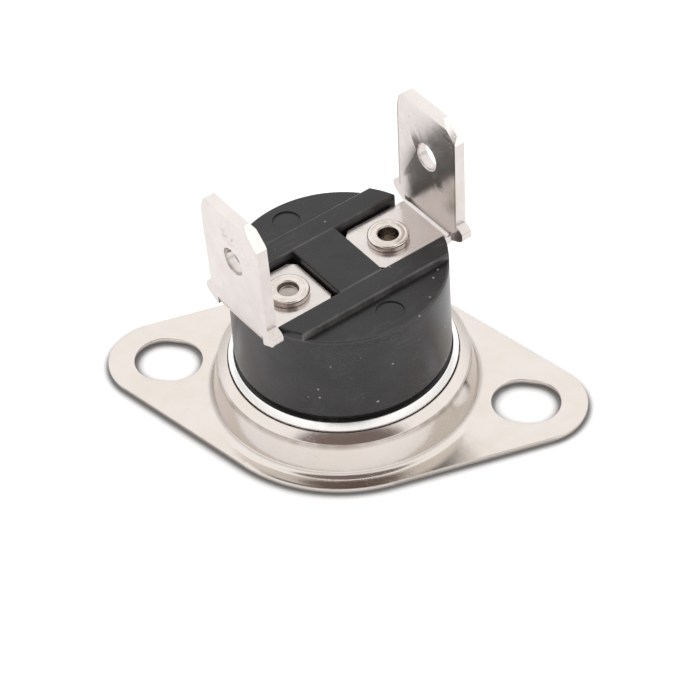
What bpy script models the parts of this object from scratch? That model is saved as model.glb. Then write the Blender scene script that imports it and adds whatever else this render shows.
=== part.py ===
# Bimetal snap-disc thermostat with a loose mounting flange and two blade terminals.
# Units are metres, +Z is up. The origin is on the table, under the middle of the flange.
# X runs along the flange's long axis. The switch stands at an angle to it: its own
# axes are u, from the left terminal to the right one, and v, across the terminals.

import math

import bmesh
import bpy
from mathutils import Matrix, Vector

# Placing of the switch in the flange
SWITCH_ANGLE = math.radians(49.2)

# Mounting flange
PLATE_THICKNESS = 0.0005
SLOT_SPACING = 0.0254
SLOT_LENGTH = 0.0048
SLOT_WIDTH = 0.0041
EAR_SPACING = 0.0266
EAR_RADIUS = 0.00365
FLANGE_WIDTH = 0.0208
COLLAR_FOOT_RADIUS = 0.0093
COLLAR_SHOULDER_RADIUS = 0.0087
COLLAR_SHOULDER_HEIGHT = 0.00305
LIP_HEIGHT = 0.0035
LIP_RADIUS = 0.00805
COLLAR_FILLET = 0.00045
SHOULDER_ROUNDING = 0.0004
LIP_EDGE_ROUNDING = 0.00006
LIP_UNDER_ROUNDING = 0.00005
BORE_EDGE_ROUNDING = 0.00015

# Sensing cap
CAP_WALL = 0.0003
LIP_GAP = 0.00017
CRIMP_START_HEIGHT = 0.0036
CRIMP_TOP_HEIGHT = 0.00405
CRIMP_EDGE = 0.00018
BRIM_TOP_HEIGHT = 0.0025
BRIM_THICKNESS = 0.00055
BRIM_CLEARANCE = 0.00006
CAP_CORNER = 0.0005

# Moulded body
BODY_RADIUS = 0.0075
BODY_FOOT_CLEARANCE = 0.00004
BODY_NECK_DEPTH = 0.00008
BODY_NECK_HEIGHT = 0.00022
BODY_EDGE_ROUNDING = 0.00018
CUTTER_MARGIN = 0.0015
LEDGE_HEIGHT = 0.01138
RIB_HEIGHT = 0.00055
RIB_OUTER = 0.0044
CHANNEL_WIDTH = 0.0053
CHANNEL_FLOOR_HEIGHT = 0.01044
BRIDGE_LENGTH = 0.0036
BRIDGE_ROUNDING = 0.0001
CAVITY_RADIUS = 0.006
CAVITY_CLEARANCE = 0.0002
CEILING_THICKNESS = 0.0026
ARM_POCKET_DEPTH = 0.0009
ARM_POCKET_CLEARANCE = 0.0004
EJECTOR_RADIUS = 0.00095
EJECTOR_DEPTH = 0.0001
EJECTOR_OFFSET = 0.0058

# Terminals
TERMINAL_THICKNESS = 0.0008
BLADE_WIDTH = 0.0063
BLADE_TOP_HEIGHT = 0.02095
PAD_WIDTH = 0.0048
PAD_CORNER = 0.0005
BEND_RADIUS = 0.00025
EAR_WIDTH = 0.0079
EAR_DROP = 0.0007
EAR_CORNER_DROP = 0.0003
EAR_CORNER = 0.0004
EAR_FULL_HEIGHT = 0.0008
EAR_TOP = 0.0014
EAR_RELIEF = 0.00012
TIP_CHAMFER = 0.0010
TIP_CHAMFER_HEIGHT = 0.0013
TIP_BEVEL = 0.00055
TIP_THICKNESS = 0.0004
BLADE_HOLE_RADIUS = 0.001
BLADE_HOLE_DROP = 0.00435
RIGHT_PAD_START = 0.00214
RIGHT_BLADE_FACE = 0.00768
RIGHT_LEAN = math.radians(1.0)
LEFT_PAD_START = 0.00197
LEFT_BLADE_FACE = 0.00725
LEFT_LEAN = math.radians(2.0)

# Tubular rivets
RIGHT_RIVET_PLACE = 0.0043
LEFT_RIVET_PLACE = 0.0041
RIVET_HEAD_RADIUS = 0.00145
RIVET_HEAD_HEIGHT = 0.0005
RIVET_SHANK_RADIUS = 0.001
RIVET_BORE_RADIUS = 0.00065
RIVET_FLARE_RADIUS = 0.00125
RIVET_FLARE_HEIGHT = 0.00035
RIVET_HOLE_CLEARANCE = 0.00003

# Disc, guide and pin under the switch chamber
DISC_RADIUS = 0.00635
DISC_THICKNESS = 0.0002
DISC_DISH = 0.00025
DISC_ROOM = 0.00015
GUIDE_LEDGE_WIDTH = 0.0007
GUIDE_TOP_HEIGHT = 0.0023
GUIDE_WEB = 0.0008
GUIDE_HUB_RADIUS = 0.0016
GUIDE_HUB_HEIGHT = 0.0009
GUIDE_HUB_DRAFT = 0.00016
PIN_RADIUS = 0.00065
PIN_CLEARANCE = 0.00005
PIN_CHAMFER = 0.00013

# Contact arm, carrier and contacts
ARM_THICKNESS = 0.00015
ARM_WIDTH = 0.0026
ARM_TIP_TAPER = 0.000325
ARM_HINGE_PLACE = 0.0026
ARM_TIP_GAP = 0.0003
CARRIER_THICKNESS = 0.0004
CARRIER_WIDTH = 0.003
CARRIER_BEND_RADIUS = 0.00015
CHAMBER_GAP = 0.00015
MOVING_HEAD_RADIUS = 0.0006
MOVING_HEAD_HEIGHT = 0.00045
FIXED_HEAD_RADIUS = 0.0007
FIXED_HEAD_HEIGHT = 0.0004
CONTACT_SHANK_RADIUS = 0.00035
CONTACT_UPSET_RADIUS = 0.00055
CONTACT_UPSET_HEIGHT = 0.00018
CONTACT_UPSET_DRAFT = 0.00011
CONTACT_EDGE = 0.0001

# Clearance between pieces that seat on each other, and between those that touch at rest
SEAT = 0.00002
TOUCH = 0.00003

# Facets of a full turn
FINE_TURN = 72
COVERED_TURN = 48
SMALL_TURN = 24

# Points closer than this are one point
MERGE_DISTANCE = 1e-7

# Heights and radii that follow from the sizes above
PAD_TOP_HEIGHT = CHANNEL_FLOOR_HEIGHT + SEAT + TERMINAL_THICKNESS
RIB_TOP_HEIGHT = LEDGE_HEIGHT + RIB_HEIGHT
CEILING_HEIGHT = CHANNEL_FLOOR_HEIGHT - CEILING_THICKNESS
CAP_RADIUS = LIP_RADIUS - LIP_GAP
CAP_BORE = CAP_RADIUS - CAP_WALL
FOOT_RADIUS = CAP_BORE - BODY_FOOT_CLEARANCE
PLATE_TOP_UNDER_CEILING = CEILING_HEIGHT - SEAT
ARM_BOTTOM_HEIGHT = PLATE_TOP_UNDER_CEILING - ARM_THICKNESS
CARRIER_STEP_PLACE = RIGHT_RIVET_PLACE - RIVET_FLARE_RADIUS - CHAMBER_GAP + CARRIER_BEND_RADIUS
CARRIER_DROP_FACE = CARRIER_STEP_PLACE - CARRIER_BEND_RADIUS - CARRIER_THICKNESS
CARRIER_END_PLACE = PIN_RADIUS + CHAMBER_GAP
CONTACT_PLACE = (CARRIER_DROP_FACE - CARRIER_BEND_RADIUS + CARRIER_END_PLACE) / 2
ARM_TIP_PLACE = CARRIER_DROP_FACE - ARM_TIP_GAP
DISC_CENTRE_TOP = CAP_WALL + TOUCH + DISC_THICKNESS
DISC_RIM_TOP = DISC_CENTRE_TOP + DISC_DISH


def make_material(name, color, roughness, metallic):
    material = bpy.data.materials.new(name)
    material.use_nodes = True
    shader = material.node_tree.nodes["Principled BSDF"]
    shader.inputs["Base Color"].default_value = (*color, 1.0)
    shader.inputs["Roughness"].default_value = roughness
    shader.inputs["Metallic"].default_value = metallic
    return material


# Turns the switch's own axes u and v to X and Y
def turn_to_switch(mesh):
    mesh.transform(Matrix.Rotation(SWITCH_ANGLE, 4, "Z"))


# The world place of a point given by u, v and height
def switch_point(u, v, z):
    return Matrix.Rotation(SWITCH_ANGLE, 4, "Z") @ Vector((u, v, z))


# Makes an object of a bmesh. Its origin goes to pivot, and the shape stays where it is.
def finish_object(bm, name, material, turned=True, pivot=(0, 0, 0), sharp=32):
    bm.normal_update()
    bmesh.ops.recalc_face_normals(bm, faces=bm.faces)
    mesh = bpy.data.meshes.new(name)
    bm.to_mesh(mesh)
    bm.free()
    if turned:
        turn_to_switch(mesh)
    mesh.transform(Matrix.Translation(-Vector(pivot)))
    mesh.shade_smooth()
    mesh.set_sharp_from_angle(angle=math.radians(sharp))
    mesh.materials.append(material)
    obj = bpy.data.objects.new(name, mesh)
    obj.location = pivot
    bpy.context.scene.collection.objects.link(obj)
    return obj


# Points of an arc about a centre, from one angle to another in degrees
def arc(centre_x, centre_y, radius, start, end, steps):
    points = []
    for i in range(steps + 1):
        angle = math.radians(start + (end - start) * i / steps)
        points.append((centre_x + radius * math.cos(angle), centre_y + radius * math.sin(angle)))
    return points


# Rounds one corner of a profile: the arc that touches both legs
def rounded_corner(before, corner, after, radius, steps=3):
    corner = Vector(corner)
    to_before = (Vector(before) - corner).normalized()
    to_after = (Vector(after) - corner).normalized()
    half = to_before.angle(to_after) / 2
    centre = corner + (to_before + to_after).normalized() * radius / math.sin(half)
    start = corner + to_before * radius / math.tan(half) - centre
    turn = start.angle_signed(corner + to_after * radius / math.tan(half) - centre)
    points = []
    for i in range(steps + 1):
        point = centre + Matrix.Rotation(-turn * i / steps, 2) @ start
        points.append((point.x, point.y))
    return points


# Spins a closed profile of (radius, height) points about the vertical axis at (u, v)
def spin_profile(points, turn_steps, centre=(0, 0)):
    bm = bmesh.new()
    verts = [bm.verts.new((max(radius, 0.0), 0, height)) for radius, height in points]
    edges = [bm.edges.new((verts[i - 1], verts[i])) for i in range(len(verts))]
    bmesh.ops.spin(
        bm, geom=verts + edges, axis=(0, 0, 1), cent=(0, 0, 0),
        angle=math.tau, steps=turn_steps, use_merge=True,
    )
    bmesh.ops.remove_doubles(bm, verts=bm.verts, dist=MERGE_DISTANCE)
    on_axis = [edge for edge in bm.edges if not edge.link_faces]
    bmesh.ops.delete(bm, geom=on_axis, context="EDGES")
    bmesh.ops.translate(bm, verts=bm.verts, vec=(centre[0], centre[1], 0))
    return bm


# A closed loop of edges through 2D points
def add_loop(bm, points):
    verts = [bm.verts.new((x, y, 0)) for x, y in points]
    return [bm.edges.new((verts[i - 1], verts[i])) for i in range(len(verts))]


# Fills an outline with holes and gives it a thickness, from z = 0 down
def plate_from_loops(loops, thickness):
    bm = bmesh.new()
    edges = []
    for points in loops:
        edges += add_loop(bm, points)
    bmesh.ops.triangle_fill(bm, use_beauty=True, edges=edges)
    extruded = bmesh.ops.extrude_face_region(bm, geom=bm.faces[:])
    moved = [item for item in extruded["geom"] if isinstance(item, bmesh.types.BMVert)]
    bmesh.ops.translate(bm, verts=moved, vec=(0, 0, -thickness))
    return bm


# Circle without its closing point
def circle(centre_x, centre_y, radius, steps):
    return arc(centre_x, centre_y, radius, 0, 360, steps)[:-1]


# Outline of the flange: two ear arcs and two middle arcs joined by their common tangents
def flange_outline():
    ear = EAR_SPACING / 2
    middle = FLANGE_WIDTH / 2
    tangent = math.degrees(math.acos((middle - EAR_RADIUS) / ear))
    points = arc(ear, 0, EAR_RADIUS, -tangent, tangent, 14)
    points += arc(0, 0, middle, tangent, 180 - tangent, 20)
    points += arc(-ear, 0, EAR_RADIUS, 180 - tangent, 180 + tangent, 14)
    points += arc(0, 0, middle, 180 + tangent, 360 - tangent, 20)
    return points


def slot_outline(centre_x):
    reach = (SLOT_LENGTH - SLOT_WIDTH) / 2
    points = arc(centre_x + reach, 0, SLOT_WIDTH / 2, -90, 90, 12)
    points += arc(centre_x - reach, 0, SLOT_WIDTH / 2, 90, 270, 12)
    return points


# Radius of the collar's conical inner wall at a height
def collar_bore(height):
    run = COLLAR_FOOT_RADIUS - COLLAR_SHOULDER_RADIUS
    rise = COLLAR_SHOULDER_HEIGHT - PLATE_THICKNESS
    wall = PLATE_THICKNESS * math.hypot(run, rise) / rise
    return COLLAR_FOOT_RADIUS - run * (height - PLATE_THICKNESS) / rise - wall


# The collar is drawn from the plate with the plate's own thickness. Its section is the
# upper skin, a fillet, a cone, a rounded shoulder and a rising lip, and the same offset.
def collar_section(outer_radius):
    foot = Vector((COLLAR_FOOT_RADIUS, PLATE_THICKNESS))
    shoulder = Vector((COLLAR_SHOULDER_RADIUS, COLLAR_SHOULDER_HEIGHT))
    lip = Vector((LIP_RADIUS, LIP_HEIGHT))
    lip_down = Vector((lip.y - shoulder.y, -(shoulder.x - lip.x))).normalized()
    lip_down = Vector((-lip_down.x, lip_down.y))
    lip_under = lip + lip_down * PLATE_THICKNESS
    rise = (shoulder.y - lip.y) / (shoulder.x - lip.x)
    lip_under = Vector((LIP_RADIUS, lip_under.y + rise * (LIP_RADIUS - lip_under.x)))
    bore_corner_height = lip_under.y
    for _ in range(20):
        bore_corner_height = lip_under.y + rise * (collar_bore(bore_corner_height) - LIP_RADIUS)
    bore_corner = Vector((collar_bore(bore_corner_height), bore_corner_height))
    bore_foot = Vector((collar_bore(0), 0))
    points = [(outer_radius, PLATE_THICKNESS)]
    points += rounded_corner((outer_radius, PLATE_THICKNESS), foot, shoulder, COLLAR_FILLET)
    points += rounded_corner(foot, shoulder, lip, SHOULDER_ROUNDING, 4)
    points += rounded_corner(shoulder, lip, lip_under, LIP_EDGE_ROUNDING, 3)
    points += rounded_corner(lip, lip_under, bore_corner, LIP_UNDER_ROUNDING, 2)
    points += [tuple(bore_corner)]
    points += rounded_corner(bore_corner, bore_foot, (outer_radius, 0), BORE_EDGE_ROUNDING, 2)
    points += [(outer_radius, 0)]
    return points


def build_flange(material):
    join_radius = COLLAR_FOOT_RADIUS + COLLAR_FILLET + PLATE_THICKNESS / 4
    loops = [flange_outline(), circle(0, 0, join_radius, FINE_TURN)]
    loops += [slot_outline(side * SLOT_SPACING / 2) for side in (-1, 1)]
    bm = plate_from_loops(loops, PLATE_THICKNESS)
    bmesh.ops.translate(bm, verts=bm.verts, vec=(0, 0, PLATE_THICKNESS))
    reach = join_radius + MERGE_DISTANCE
    inner_wall = [
        face for face in bm.faces
        if all(vert.co.xy.length < reach for vert in face.verts) and abs(face.normal.z) < 0.5
    ]
    bmesh.ops.delete(bm, geom=inner_wall, context="FACES")
    section = collar_section(join_radius)
    verts = [bm.verts.new((radius, 0, height)) for radius, height in section]
    edges = [bm.edges.new((verts[i], verts[i + 1])) for i in range(len(verts) - 1)]
    bmesh.ops.spin(
        bm, geom=verts + edges, axis=(0, 0, 1), cent=(0, 0, 0),
        angle=math.tau, steps=FINE_TURN, use_merge=True,
    )
    bmesh.ops.remove_doubles(bm, verts=bm.verts, dist=MERGE_DISTANCE)
    return finish_object(bm, "mounting_flange", material, turned=False)


# Drawn cup with a folded brim that holds the flange, its rim crimped over the body
def build_cap(material):
    brim_radius = collar_bore(BRIM_TOP_HEIGHT) - BRIM_CLEARANCE
    brim_bottom = BRIM_TOP_HEIGHT - BRIM_THICKNESS
    rim_bore = BODY_RADIUS + BODY_FOOT_CLEARANCE
    rim_outer = rim_bore + CRIMP_EDGE
    points = [(0, 0)]
    points += rounded_corner((0, 0), (CAP_RADIUS, 0), (CAP_RADIUS, brim_bottom), CAP_CORNER)
    points += [(CAP_RADIUS, brim_bottom)]
    points += arc(brim_radius - BRIM_THICKNESS / 2, BRIM_TOP_HEIGHT - BRIM_THICKNESS / 2,
                  BRIM_THICKNESS / 2, -90, 90, 4)
    points += [(CAP_RADIUS, BRIM_TOP_HEIGHT)]
    points += [(CAP_RADIUS, CRIMP_START_HEIGHT)]
    points += rounded_corner((CAP_RADIUS, CRIMP_START_HEIGHT), (rim_outer, CRIMP_TOP_HEIGHT),
                             (rim_bore, CRIMP_TOP_HEIGHT), CRIMP_EDGE / 2)
    points += [(rim_bore, CRIMP_TOP_HEIGHT)]
    points += [(rim_bore, CRIMP_TOP_HEIGHT - CAP_WALL)]
    points += [(CAP_BORE, CRIMP_START_HEIGHT)]
    inner_corner = CAP_CORNER - CAP_WALL
    points += rounded_corner((CAP_BORE, CRIMP_START_HEIGHT), (CAP_BORE, CAP_WALL),
                             (0, CAP_WALL), inner_corner)
    points += [(0, CAP_WALL)]
    return finish_object(spin_profile(points, FINE_TURN), "sensing_cap", material)


# Dished snap disc, its middle down on the cap's floor while cold
def build_disc(material):
    steps = 4
    top = []
    bottom = []
    for i in range(steps + 1):
        share = i / steps
        height = DISC_CENTRE_TOP + DISC_DISH * share * share
        top.append((DISC_RADIUS * share, height))
        bottom.append((DISC_RADIUS * share, height - DISC_THICKNESS))
    return finish_object(spin_profile(bottom + top[::-1], COVERED_TURN), "bimetal_disc", material)


# Moulded guide: a skirt round the disc, a ledge over its rim, a web and a hub for the pin
def build_guide(material):
    skirt_bore = DISC_RADIUS + DISC_ROOM
    ledge_height = DISC_RIM_TOP + TOUCH
    ledge_bore = DISC_RADIUS - GUIDE_LEDGE_WIDTH
    web_height = GUIDE_TOP_HEIGHT - GUIDE_WEB
    bore = PIN_RADIUS + PIN_CLEARANCE
    hub_top = GUIDE_TOP_HEIGHT + GUIDE_HUB_HEIGHT
    skirt_foot = CAP_WALL + SEAT
    chamfer = CAP_CORNER - CAP_WALL
    points = [
        (skirt_bore, skirt_foot),
        (FOOT_RADIUS - chamfer, skirt_foot),
        (FOOT_RADIUS, skirt_foot + chamfer),
        (FOOT_RADIUS, GUIDE_TOP_HEIGHT),
        (GUIDE_HUB_RADIUS, GUIDE_TOP_HEIGHT),
        (GUIDE_HUB_RADIUS - GUIDE_HUB_DRAFT, hub_top),
        (bore, hub_top),
        (bore, web_height),
        (ledge_bore, web_height),
        (ledge_bore, ledge_height),
        (skirt_bore, ledge_height),
    ]
    return finish_object(spin_profile(points, COVERED_TURN), "pin_guide", material)


# Ceramic pin with a domed top, so the arm rolls on it as it tilts
def build_pin(material):
    foot = DISC_CENTRE_TOP + TOUCH
    top = ARM_BOTTOM_HEIGHT - TOUCH
    dome = arc(0, top - PIN_RADIUS, PIN_RADIUS, 0, 90, 6)
    points = [(0, foot), (PIN_RADIUS - PIN_CHAMFER, foot), (PIN_RADIUS, foot + PIN_CHAMFER)]
    points += dome
    bm = spin_profile(points, SMALL_TURN)
    return finish_object(bm, "push_pin", material, pivot=(0, 0, foot))


# A cutter is only a guide for the Boolean and isn't part of the object
def hide_cutter(obj):
    obj.hide_render = True
    obj.display_type = "WIRE"


def cut(target, cutter):
    hide_cutter(cutter)
    boolean = target.modifiers.new(cutter.name, "BOOLEAN")
    boolean.operation = "DIFFERENCE"
    boolean.solver = "EXACT"
    boolean.object = cutter


def box_bmesh(low, high):
    bm = bmesh.new()
    bmesh.ops.create_cube(bm, size=1)
    size = Vector(high) - Vector(low)
    bmesh.ops.scale(bm, verts=bm.verts, vec=size)
    bmesh.ops.translate(bm, verts=bm.verts, vec=(Vector(low) + Vector(high)) / 2)
    return bm


# Prism over an outline in u and v, between two heights
def prism_bmesh(points, low, high):
    bm = plate_from_loops([points], high - low)
    bmesh.ops.translate(bm, verts=bm.verts, vec=(0, 0, high))
    return bm


# Turned blank of the body: foot in the cap, neck at the crimp, plain wall, rounded top edge
def body_section():
    foot_height = GUIDE_TOP_HEIGHT + SEAT
    shoulder_height = CRIMP_START_HEIGHT - SEAT
    rim_height = CRIMP_TOP_HEIGHT - CAP_WALL - SEAT
    neck_radius = BODY_RADIUS - BODY_NECK_DEPTH
    neck_top = CRIMP_TOP_HEIGHT + BODY_NECK_HEIGHT
    points = [
        (CAVITY_RADIUS, foot_height),
        (FOOT_RADIUS, foot_height),
        (FOOT_RADIUS, shoulder_height),
        (BODY_RADIUS, rim_height),
        (BODY_RADIUS, CRIMP_TOP_HEIGHT - SEAT),
        (neck_radius, CRIMP_TOP_HEIGHT + BODY_NECK_DEPTH),
        (neck_radius, neck_top),
        (BODY_RADIUS, neck_top + BODY_NECK_DEPTH),
    ]
    points += rounded_corner((BODY_RADIUS, neck_top), (BODY_RADIUS, RIB_TOP_HEIGHT),
                             (0, RIB_TOP_HEIGHT), BODY_EDGE_ROUNDING)
    points += [(0, RIB_TOP_HEIGHT), (0, CEILING_HEIGHT)]
    points += rounded_corner((0, CEILING_HEIGHT), (CAVITY_RADIUS, CEILING_HEIGHT),
                             (CAVITY_RADIUS, foot_height), BODY_EDGE_ROUNDING, 2)
    return points


def build_body(material):
    body = finish_object(spin_profile(body_section(), FINE_TURN), "body", material)
    beyond = BODY_RADIUS + CUTTER_MARGIN
    above = RIB_TOP_HEIGHT + CUTTER_MARGIN
    for side, label in ((1, "far"), (-1, "near")):
        edges = sorted((side * RIB_OUTER, side * beyond))
        bm = box_bmesh((-beyond, edges[0], LEDGE_HEIGHT), (beyond, edges[1], above))
        cut(body, finish_object(bm, "ledge_cutter_" + label, material))
        dimple_centre = (0, side * EJECTOR_OFFSET)
        bm = prism_bmesh(circle(*dimple_centre, EJECTOR_RADIUS, SMALL_TURN),
                         LEDGE_HEIGHT - EJECTOR_DEPTH, above)
        cut(body, finish_object(bm, "ejector_cutter_" + label, material))
    half = CHANNEL_WIDTH / 2
    for side, label in ((1, "right"), (-1, "left")):
        inner = BRIDGE_LENGTH / 2
        corner = BRIDGE_ROUNDING
        outline = rounded_corner((beyond, half), (inner, half), (inner, -half), corner, 2)
        outline += rounded_corner((inner, half), (inner, -half), (beyond, -half), corner, 2)
        outline += [(beyond, -half), (beyond, half)]
        outline = [(side * u, v) for u, v in outline]
        bm = prism_bmesh(outline, CHANNEL_FLOOR_HEIGHT, above)
        cut(body, finish_object(bm, "channel_cutter_" + label, material))
    holes = ((RIGHT_RIVET_PLACE, "right"), (-LEFT_RIVET_PLACE, "left"))
    for place, label in holes:
        hole_radius = RIVET_SHANK_RADIUS + RIVET_HOLE_CLEARANCE
        bm = prism_bmesh(circle(place, 0, hole_radius, SMALL_TURN),
                         CEILING_HEIGHT - CUTTER_MARGIN, above)
        cut(body, finish_object(bm, "rivet_hole_cutter_" + label, material))
    pocket_half = ARM_WIDTH / 2 + ARM_POCKET_CLEARANCE
    low = (-ARM_HINGE_PLACE, -pocket_half, CEILING_HEIGHT - CUTTER_MARGIN)
    high = (ARM_TIP_PLACE + ARM_POCKET_CLEARANCE, pocket_half, CEILING_HEIGHT + ARM_POCKET_DEPTH)
    cut(body, finish_object(box_bmesh(low, high), "arm_pocket_cutter", material))
    return body


# Follows a strip's middle line through its bends. A bend is (start, inner radius, turn),
# start counted along the strip, and a positive turn bends up. Offset is towards the top face.
def bent_point(along, offset, bends, thickness):
    x = 0.0
    z = 0.0
    angle = 0.0
    place = 0.0
    for start, radius, turn in bends:
        if along <= start:
            break
        x += (start - place) * math.cos(angle)
        z += (start - place) * math.sin(angle)
        middle = radius + thickness / 2
        part = min(along - start, middle * abs(turn))
        side = math.copysign(1, turn)
        centre_x = x - side * middle * math.sin(angle)
        centre_z = z + side * middle * math.cos(angle)
        angle += side * part / middle
        x = centre_x + side * middle * math.sin(angle)
        z = centre_z - side * middle * math.cos(angle)
        place = start + part
    x += (along - place) * math.cos(angle)
    z += (along - place) * math.sin(angle)
    return x - offset * math.sin(angle), z + offset * math.cos(angle)


# Cuts a flat blank across wherever it will bend, so that each bend is made of short facets
def score_blank(bm, bends, thickness, steps):
    places = []
    for start, radius, turn in bends:
        length = (radius + thickness / 2) * abs(turn)
        places += [start + length * i / steps for i in range(steps + 1)]
    for place in places:
        geometry = bm.verts[:] + bm.edges[:] + bm.faces[:]
        bmesh.ops.bisect_plane(bm, geom=geometry, dist=1e-8,
                               plane_co=(place, 0, 0), plane_no=(1, 0, 0))


# The three edges round a blade's tip, each as the outward direction across it and a point on it
def coined_lines(tip, half_width):
    lines = [(Vector((1, 0, 0)), Vector((tip, 0, 0)))]
    for side in (1, -1):
        across = Vector((TIP_CHAMFER, side * TIP_CHAMFER_HEIGHT, 0)).normalized()
        lines.append((across, Vector((tip, side * (half_width - TIP_CHAMFER), 0))))
    return lines


# How far into the tip's coined edges a point of the blank lies: 0 before them, 1 at the rim
def coined_share(point, lines):
    flat = Vector((point.x, point.y, 0))
    depths = [(flat - place).dot(across) / TIP_BEVEL + 1 for across, place in lines]
    return max(0.0, *depths)


# Cuts the blank where its coined edges begin, and at the two creases where they meet
def score_tip(bm, lines):
    for across, place in lines:
        geometry = bm.verts[:] + bm.edges[:] + bm.faces[:]
        bmesh.ops.bisect_plane(bm, geom=geometry, dist=1e-8,
                               plane_co=place - across * TIP_BEVEL, plane_no=across)
    for across, place in lines[1:]:
        faces = [face for face in bm.faces if coined_share(face.calc_center_median(), lines) > 0]
        edges = list({edge for face in faces for edge in face.edges})
        verts = list({vert for face in faces for vert in face.verts})
        bmesh.ops.bisect_plane(bm, geom=verts + edges + faces, dist=1e-8,
                               plane_co=place, plane_no=lines[0][0] - across)


# Blade terminal as cut from sheet: pad, neck, ears with a relief beside the neck, and blade.
# Lengths run from the pad's inner end. The neck bends up, the ears stay in the blade's plane.
def build_terminal(name, side, pad_start, blade_face, lean, rivet_place, material):
    turn = math.pi / 2 - lean
    bend_start = blade_face - BEND_RADIUS - pad_start
    bends = [(bend_start, BEND_RADIUS, turn)]
    bend_end = bend_start + (BEND_RADIUS + TERMINAL_THICKNESS / 2) * turn
    end_height = bent_point(bend_end, 0, bends, TERMINAL_THICKNESS)[1]
    middle_height = PAD_TOP_HEIGHT - TERMINAL_THICKNESS / 2
    rise = math.cos(lean)
    tip = bend_end + (BLADE_TOP_HEIGHT - middle_height - end_height) / rise
    hole = tip - BLADE_HOLE_DROP / rise
    pad = PAD_WIDTH / 2
    blade = BLADE_WIDTH / 2
    ear = EAR_WIDTH / 2
    ear_inner = pad + EAR_RELIEF
    half_outline = [(0, pad - PAD_CORNER), (PAD_CORNER, pad), (bend_end, pad)]
    half_outline += [
        (bend_end, ear_inner), (bend_end - EAR_DROP, ear_inner),
        (bend_end - EAR_CORNER_DROP, ear - EAR_CORNER),
        (bend_end - EAR_CORNER_DROP + EAR_CORNER, ear),
        (bend_end + EAR_FULL_HEIGHT, ear),
        (bend_end + (EAR_FULL_HEIGHT + EAR_TOP) / 2, ear - (ear - blade) / 3),
        (bend_end + EAR_TOP, blade), (tip - TIP_CHAMFER_HEIGHT, blade),
        (tip, blade - TIP_CHAMFER),
    ]
    outline = half_outline + [(along, -across) for along, across in half_outline[::-1]]
    rivet_hole = RIVET_SHANK_RADIUS + RIVET_HOLE_CLEARANCE
    loops = [
        outline,
        circle(rivet_place - pad_start, 0, rivet_hole, SMALL_TURN),
        circle(hole, 0, BLADE_HOLE_RADIUS, SMALL_TURN),
    ]
    bm = plate_from_loops(loops, TERMINAL_THICKNESS)
    score_blank(bm, bends, TERMINAL_THICKNESS, 5)
    lines = coined_lines(tip, blade)
    score_tip(bm, lines)
    neck_edge = pad + EAR_RELIEF / 2
    straight_x, straight_z = bent_point(bend_end, 0, bends, TERMINAL_THICKNESS)
    for vert in bm.verts:
        along, across, depth = vert.co
        offset = depth + TERMINAL_THICKNESS / 2
        offset *= 1 - coined_share(vert.co, lines) * (1 - TIP_THICKNESS / TERMINAL_THICKNESS)
        if abs(across) > neck_edge:
            past = along - bend_end
            x = straight_x + past * math.cos(turn) - offset * math.sin(turn)
            z = straight_z + past * math.sin(turn) + offset * math.cos(turn)
        else:
            x, z = bent_point(along, offset, bends, TERMINAL_THICKNESS)
        vert.co = (side * (pad_start + x), across, middle_height + z)
    return finish_object(bm, name, material)


# Tubular rivet: rolled head on the terminal, shank through the body, flare under the plate
def build_rivet(name, place, plate_thickness, material):
    under_head = PAD_TOP_HEIGHT + SEAT
    top = PAD_TOP_HEIGHT + RIVET_HEAD_HEIGHT
    under_plate = PLATE_TOP_UNDER_CEILING - plate_thickness - SEAT
    bottom = under_plate - RIVET_FLARE_HEIGHT
    roll = (RIVET_HEAD_RADIUS - RIVET_BORE_RADIUS) / 3
    points = [(RIVET_BORE_RADIUS, bottom), (RIVET_SHANK_RADIUS, bottom)]
    points += [(RIVET_FLARE_RADIUS, under_plate - RIVET_FLARE_HEIGHT / 3)]
    points += [(RIVET_FLARE_RADIUS, under_plate), (RIVET_SHANK_RADIUS, under_plate)]
    points += [(RIVET_SHANK_RADIUS, under_head), (RIVET_HEAD_RADIUS, under_head)]
    points += rounded_corner((RIVET_HEAD_RADIUS, under_head), (RIVET_HEAD_RADIUS, top),
                             (RIVET_BORE_RADIUS, top), roll)
    points += rounded_corner((RIVET_HEAD_RADIUS, top), (RIVET_BORE_RADIUS, top),
                             (RIVET_BORE_RADIUS, bottom), roll)
    return finish_object(spin_profile(points, SMALL_TURN, centre=(place, 0)), name, material)


# How far out a strip of this half width can reach under the chamber's ceiling
def strip_reach(half_width):
    radius = CAVITY_RADIUS - CAVITY_CLEARANCE
    return math.sqrt(radius * radius - half_width * half_width)


# The clamped foot of the contact spring, up to its flex line
def build_arm_root(material):
    half = ARM_WIDTH / 2
    outer = -strip_reach(half)
    inner = -ARM_HINGE_PLACE - ARM_THICKNESS / 2 - TOUCH
    outline = [(outer, -half), (inner, -half), (inner, half), (outer, half)]
    hole_radius = RIVET_SHANK_RADIUS + RIVET_HOLE_CLEARANCE
    bm = plate_from_loops([outline, circle(-LEFT_RIVET_PLACE, 0, hole_radius, SMALL_TURN)],
                          ARM_THICKNESS)
    bmesh.ops.translate(bm, verts=bm.verts, vec=(0, 0, PLATE_TOP_UNDER_CEILING))
    return finish_object(bm, "arm_root", material)


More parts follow.
